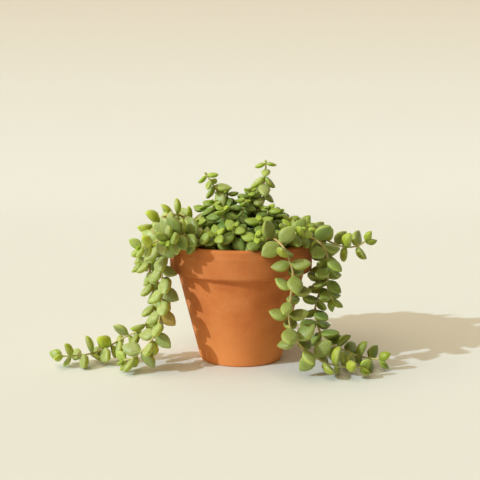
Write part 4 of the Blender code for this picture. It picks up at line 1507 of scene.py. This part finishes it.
@dataclass
class Pot:
    """The terracotta pot, turned from one smooth profile. Sizes are in millimetres.

    Attributes:
        form: The sizes that the CAD has.
        axis: Its axis at the floor, in metres.
        finish: Its material.
        sides: How many faces go round it.
        corner_steps: How many steps round off a corner.
        step: About the space between two points of the profile.
        ridge_below_rim: How far below the rim the fine ridge is.
        ridge_height: How far the ridge stands out.
        ridge_width: How far it reaches up and down.
        waver: How far the potter's hand wavered out or in.
        waver_length: The height that one waver takes.
        waver_slice: Where the noise is cut, which only picks one of its patterns.
    """

    form: PotForm
    axis: Vector
    finish: bpy.types.Material
    sides: int = 144
    corner_steps: int = 5
    step: float = 1.2
    ridge_below_rim: float = 7.0
    ridge_height: float = 0.45
    ridge_width: float = 0.8
    waver: float = 0.07
    waver_length: float = 5.0
    waver_slice: float = 3.7

    def corners(self) -> list[tuple[float, float, float]]:
        """Return the profile's corners as radius, height and rounding."""
        form = self.form
        band_bottom = form.height - form.band_height
        return [
            (form.drain_radius, 0.0, 0.8),
            (form.foot_radius, 0.0, 1.6),
            (form.body_top_radius, band_bottom, 1.2),
            (form.rim_radius - form.band_taper, band_bottom, 2.2),
            (form.rim_radius, form.height, 2.2),
            (form.rim_radius - form.wall, form.height, 1.8),
            (form.inner_radius(form.floor_thickness), form.floor_thickness, 4.0),
            (form.drain_radius, form.floor_thickness, 0.8),
        ]

    def profile(self) -> list[tuple[float, float]]:
        """Return the closed profile with rounded corners and a point about every step between."""
        corners = [(Vector((radius, height)), rounding) for radius, height, rounding in self.corners()]
        arcs = []
        for n, (corner, rounding) in enumerate(corners):
            before = corners[n - 1][0] - corner
            after = corners[(n + 1) % len(corners)][0] - corner
            start = corner + before.normalized() * rounding
            end = corner + after.normalized() * rounding
            arc = []
            for k in range(self.corner_steps + 1):
                t = k / self.corner_steps
                arc.append(start * (1 - t)**2 + corner * (2 * t * (1 - t)) + end * t**2)
            arcs.append(arc)
        points = []
        for n, arc in enumerate(arcs):
            points += arc
            goal = arcs[(n + 1) % len(arcs)][0]
            stretch = goal - arc[-1]
            count = max(1, round(stretch.length / self.step))
            points += [arc[-1] + stretch * (k / count) for k in range(1, count)]
        return [(point.x + self.relief(point.x, point.y), point.y) for point in points]

    def relief(self, radius: float, height: float) -> float:
        """Return how far the outside stands out: a fine ridge under the rim, and the potter's waver."""
        if radius < self.form.inner_radius(height) + self.form.wall / 2 or height < self.form.edge_round:
            return 0.0
        from_ridge = height - (self.form.height - self.ridge_below_rim)
        ridge = self.ridge_height * math.exp(-(from_ridge / self.ridge_width) ** 2)
        return ridge + self.waver * noise.noise(Vector((height / self.waver_length, self.waver_slice, 0.0)))

    def build(self) -> bpy.types.Object:
        """Return the finished pot."""
        points, faces = turned_shape(self.profile(), self.sides)
        placed = [point * MM + self.axis for point in points]
        mesh = shape_mesh("pot_turned", (placed, faces), self.finish)
        return new_piece("pot_turned", mesh, "pot")


@dataclass
class Soil:
    """The potting soil: a plug with an uneven top and loose crumbs lying on it. Sizes are in millimetres.

    Attributes:
        form: The sizes that the CAD has.
        axis: The pot's axis at the floor, in metres.
        finish: Its material.
        sides: How many faces go round the plug.
        rings: How many rings of points its top has.
        hill_length: How broad the hills of its top are.
        lump_length: How broad the lumps on them are.
        lump_height: How high the lumps are.
        crumb_corners: How many corners go round a crumb, which reaches 1 up and 1 down.
        crumb_breadth: How far from its axis they are.
        crumb_shoulder: How far above or below its middle they are.
        crumb_jitter: The least and the most that a corner is drawn in or out, as a share.
        crumbs_per_cm2: How closely the crumbs lie.
        smallest: The least radius of a crumb.
        largest: The greatest radius of a crumb.
        seed: The seed of their shape and their places.
    """

    form: PotForm
    axis: Vector
    finish: bpy.types.Material
    sides: int = 72
    rings: int = 22
    hill_length: float = 9.0
    lump_length: float = 2.2
    lump_height: float = 0.5
    crumb_corners: int = 5
    crumb_breadth: float = 0.9
    crumb_shoulder: float = 0.45
    crumb_jitter: tuple = (0.75, 1.2)
    crumbs_per_cm2: float = 9.0
    smallest: float = 0.5
    largest: float = 1.5
    seed: int = 21

    def plug(self) -> Shape:
        """Return the points and faces of the plug, in metres."""
        form = self.form
        bottom = form.floor_thickness + form.soil_gap
        edge = form.inner_radius(form.soil_top) - form.soil_gap
        rows = [(form.inner_radius(bottom) - form.soil_gap, bottom, 0.0)]
        rows += [(edge * (1 - n / self.rings), form.soil_top, 1.0) for n in range(self.rings)]
        points = []
        faces = [tuple(reversed(range(self.sides)))]
        for radius, height, rough in rows:
            for k in range(self.sides):
                angle = 2 * math.pi * k / self.sides
                spot = Vector((radius * math.cos(angle), radius * math.sin(angle), height))
                hills = noise.noise(spot / self.hill_length) * form.soil_bump
                hills += noise.noise(spot / self.lump_length) * self.lump_height
                spot.z += rough * hills
                points.append(spot * MM + self.axis)
        faces += joined_rings(len(rows), self.sides)
        last = len(points) - self.sides
        points.append(Vector((0, 0, form.soil_top)) * MM + self.axis)
        faces += [(last + k, last + (k + 1) % self.sides, last + self.sides) for k in range(self.sides)]
        return points, faces

    def crumb(self) -> bpy.types.Object:
        """Return one crumb of radius 1 that the tree repeats."""
        draw = random.Random(self.seed)
        corners = self.crumb_corners
        points = []
        for z in (-1, 1):
            for k in range(corners):
                angle = 2 * math.pi * (k + z / 4) / corners
                spot = Vector((math.cos(angle) * self.crumb_breadth, math.sin(angle) * self.crumb_breadth,
                               z * self.crumb_shoulder))
                points.append(spot * draw.uniform(*self.crumb_jitter))
        bottom = len(points)
        points += [Vector((0, 0, -1)), Vector((0, 0, 1))]
        faces = []
        for k in range(corners):
            m = (k + 1) % corners
            over = corners + k
            faces += [(m, k, bottom), (k, m, over), (m, corners + m, over), (over, corners + m, bottom + 1)]
        made = bpy.data.objects.new("soil_crumb", shape_mesh("soil_crumb", (points, faces)))
        bpy.context.scene.collection.objects.link(made)
        return made

    @staticmethod
    def crumb_tree() -> bpy.types.NodeTree:
        """Return the geometry tree that strews crumbs over the top of the plug."""
        tree, source = geometry_tree("strewn_crumbs", [
            ("Crumb", "NodeSocketObject"), ("Density", "NodeSocketFloat"), ("Seed", "NodeSocketInt"),
            ("Smallest", "NodeSocketFloat"), ("Largest", "NodeSocketFloat"),
            ("Finish", "NodeSocketMaterial")])
        normal = add_node(tree, "GeometryNodeInputNormal")
        upright = add_node(tree, "ShaderNodeSeparateXYZ", inputs={0: normal.outputs["Normal"]})
        level = add_node(tree, "FunctionNodeCompare", {"operation": "GREATER_THAN"}, {
            0: upright.outputs["Z"], 1: 0.5})
        spots = add_node(tree, "GeometryNodeDistributePointsOnFaces", inputs={
            "Mesh": source.outputs["Geometry"], "Selection": level.outputs["Result"],
            "Density": source.outputs["Density"], "Seed": source.outputs["Seed"]})
        size = add_node(tree, "FunctionNodeRandomValue", {"data_type": "FLOAT"}, {
            2: source.outputs["Smallest"], 3: source.outputs["Largest"], "Seed": source.outputs["Seed"]})
        whole_turns = (6.28, 6.28, 6.28)
        spin = add_node(tree, "FunctionNodeRandomValue", {"data_type": "FLOAT_VECTOR"}, {
            0: (0.0, 0.0, 0.0), 1: whole_turns, "Seed": source.outputs["Seed"]})
        crumb = add_node(tree, "GeometryNodeObjectInfo", inputs={"Object": source.outputs["Crumb"]})
        strewn = add_node(tree, "GeometryNodeInstanceOnPoints", inputs={
            "Points": spots.outputs["Points"], "Instance": crumb.outputs["Geometry"],
            "Rotation": spin.outputs[0], "Scale": size.outputs[1]})
        both = add_node(tree, "GeometryNodeJoinGeometry")
        tree.links.new(source.outputs["Geometry"], both.inputs["Geometry"])
        tree.links.new(strewn.outputs["Instances"], both.inputs["Geometry"])
        real = add_node(tree, "GeometryNodeRealizeInstances", inputs={"Geometry": both.outputs["Geometry"]})
        dressed = add_node(tree, "GeometryNodeSetMaterial", inputs={
            "Geometry": real.outputs["Geometry"], "Material": source.outputs["Finish"]})
        add_node(tree, "NodeGroupOutput", inputs={"Geometry": dressed.outputs["Geometry"]})
        return tree

    def build(self) -> bpy.types.Object:
        """Return the finished soil."""
        host = bpy.data.objects.new("soil_host", shape_mesh("soil_plug", self.plug()))
        bpy.context.scene.collection.objects.link(host)
        crumb = self.crumb()
        mesh = grown_mesh(host, self.crumb_tree(), {
            "Crumb": crumb, "Density": self.crumbs_per_cm2 * 1e4, "Seed": self.seed,
            "Smallest": self.smallest * MM, "Largest": self.largest * MM, "Finish": self.finish})
        bpy.data.objects.remove(crumb)
        return new_piece("soil_crumbly", mesh, "soil")


@dataclass
class Studio:
    """Seamless paper, low sun from the left front, wide soft light from the upper left, and the camera.

    Sizes are in metres and angles in degrees.
    """

    axis: Vector
    # The paper: its reach to the sides and the front, where behind the pot it starts to bend, the
    # radius of the bend, its top, and the faces in the bend
    paper_reach: float = 8.0
    paper_back: float = 0.9
    paper_bend: float = 0.9
    paper_top: float = 4.0
    bend_steps: int = 24
    # The sun: the way that its light goes, seen from above, and how steeply it falls
    sun_azimuth: float = 30.0
    sun_elevation: float = 29.0
    sun_strength: float = 2.87
    sun_colour: str = "#d3e6f3"
    sun_width: float = 0.9
    # The wide soft light, and the even light that comes from all round
    soft_from: Point = (-0.50, -0.25, 0.83)
    soft_strength: float = 2.55
    soft_colour: str = "#f8e5c4"
    soft_width: float = 76.0
    fill_colour: str = "#ffd0a0"
    fill_strength: float = 0.10
    beyond_colour: str = "#ede6d0"
    # The camera: its place before the pot's axis, how far it looks down, and the photograph's frame
    camera_back: float = 0.700
    camera_height: float = 0.192
    camera_tilt: float = 8.14
    sensor_mm: float = 36.0
    pixels: float = 480.0
    focal_pixels: float = 920.0
    shift_pixels: float = -1.0

    def build(self) -> None:
        """Set up the whole studio."""
        self.sweep()
        self.lamps()
        self.camera()

    def sweep(self) -> None:
        """Lay the paper: level under the pot and curving up behind it."""
        back = self.paper_back
        bend = self.paper_bend
        outline = [(-self.paper_reach, 0.0), (back, 0.0)]
        for n in range(1, self.bend_steps + 1):
            angle = math.pi / 2 * n / self.bend_steps
            outline.append((back + bend * math.sin(angle), bend * (1 - math.cos(angle))))
        outline.append((back + bend, self.paper_top))
        points = []
        for y, z in outline:
            points += [Vector((-self.paper_reach, y, z)), Vector((self.paper_reach, y, z))]
        faces = [(2 * n, 2 * n + 1, 2 * n + 3, 2 * n + 2) for n in range(len(outline) - 1)]
        mesh = shape_mesh("paper_sweep", (points, faces), PaperSweep().material())
        sweep = bpy.data.objects.new("paper_sweep", mesh)
        bpy.context.scene.collection.objects.link(sweep)

    def lamps(self) -> None:
        """Set the sun, the soft light and the even light all round.

        Past the paper's edge the camera sees one plain colour, which lights nothing.
        """
        scene = bpy.context.scene
        azimuth = math.radians(self.sun_azimuth)
        elevation = math.radians(self.sun_elevation)
        shines = Vector((math.cos(azimuth) * math.cos(elevation), math.sin(azimuth) * math.cos(elevation),
                         -math.sin(elevation)))
        self.sun("low_sun", shines, self.sun_strength, self.sun_colour, self.sun_width)
        self.sun("soft_light", -Vector(self.soft_from), self.soft_strength, self.soft_colour, self.soft_width)
        world = bpy.data.worlds.new("studio")
        world.use_nodes = True
        tree = world.node_tree
        fill = tree.nodes["Background"]
        fill.inputs["Color"].default_value = linear(self.fill_colour)
        fill.inputs["Strength"].default_value = self.fill_strength
        beyond = add_node(tree, "ShaderNodeBackground", inputs={"Color": linear(self.beyond_colour)})
        seen = add_node(tree, "ShaderNodeLightPath").outputs["Is Camera Ray"]
        both = add_node(tree, "ShaderNodeMixShader", inputs={
            0: seen, 1: fill.outputs[0], 2: beyond.outputs[0]})
        tree.links.new(both.outputs[0], tree.nodes["World Output"].inputs["Surface"])
        scene.world = world

    @staticmethod
    def sun(name: str, shines: Vector, strength: float, colour: str, width: float) -> None:
        """Add a far lamp.

        Args:
            name: Its name.
            shines: The direction of its light.
            strength: Its strength.
            colour: Its sRGB colour.
            width: How wide it looks from the object, in degrees. A wide one gives soft shadows.
        """
        light = bpy.data.lights.new(name, "SUN")
        light.energy = strength
        light.color = linear(colour)[:3]
        light.angle = math.radians(width)
        lamp = bpy.data.objects.new(name, light)
        lamp.rotation_euler = shines.to_track_quat("-Z", "Y").to_euler()
        bpy.context.scene.collection.objects.link(lamp)

    def camera(self) -> None:
        """Set the camera at the photograph's angle."""
        scene = bpy.context.scene
        lens = bpy.data.cameras.new("camera")
        lens.sensor_width = self.sensor_mm
        lens.lens = self.focal_pixels / self.pixels * self.sensor_mm
        lens.shift_x = self.shift_pixels / self.pixels
        camera = bpy.data.objects.new("camera", lens)
        camera.location = self.axis + Vector((0.0, -self.camera_back, self.camera_height))
        camera.rotation_euler = (math.radians(90 - self.camera_tilt), 0.0, 0.0)
        scene.collection.objects.link(camera)
        scene.camera = camera
        scene.view_settings.view_transform = "Standard"


def main() -> None:
    """Load the frame and build the pot, its soil, the plant and the studio."""
    logging.basicConfig(level=logging.INFO, format="%(message)s")
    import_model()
    low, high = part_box("pot")
    axis = Vector(((low[0] + high[0]) / 2, (low[1] + high[1]) / 2, 0.0))
    form = PotForm()
    Studio(axis).build()
    Pot(form, axis, Terracotta().material()).build()
    Soil(form, axis, PottingSoil().material()).build()
    Plant(Growth(form), axis, LeafSkin().material(), StemSkin().material()).build()


if __name__ == "__main__":
    main()
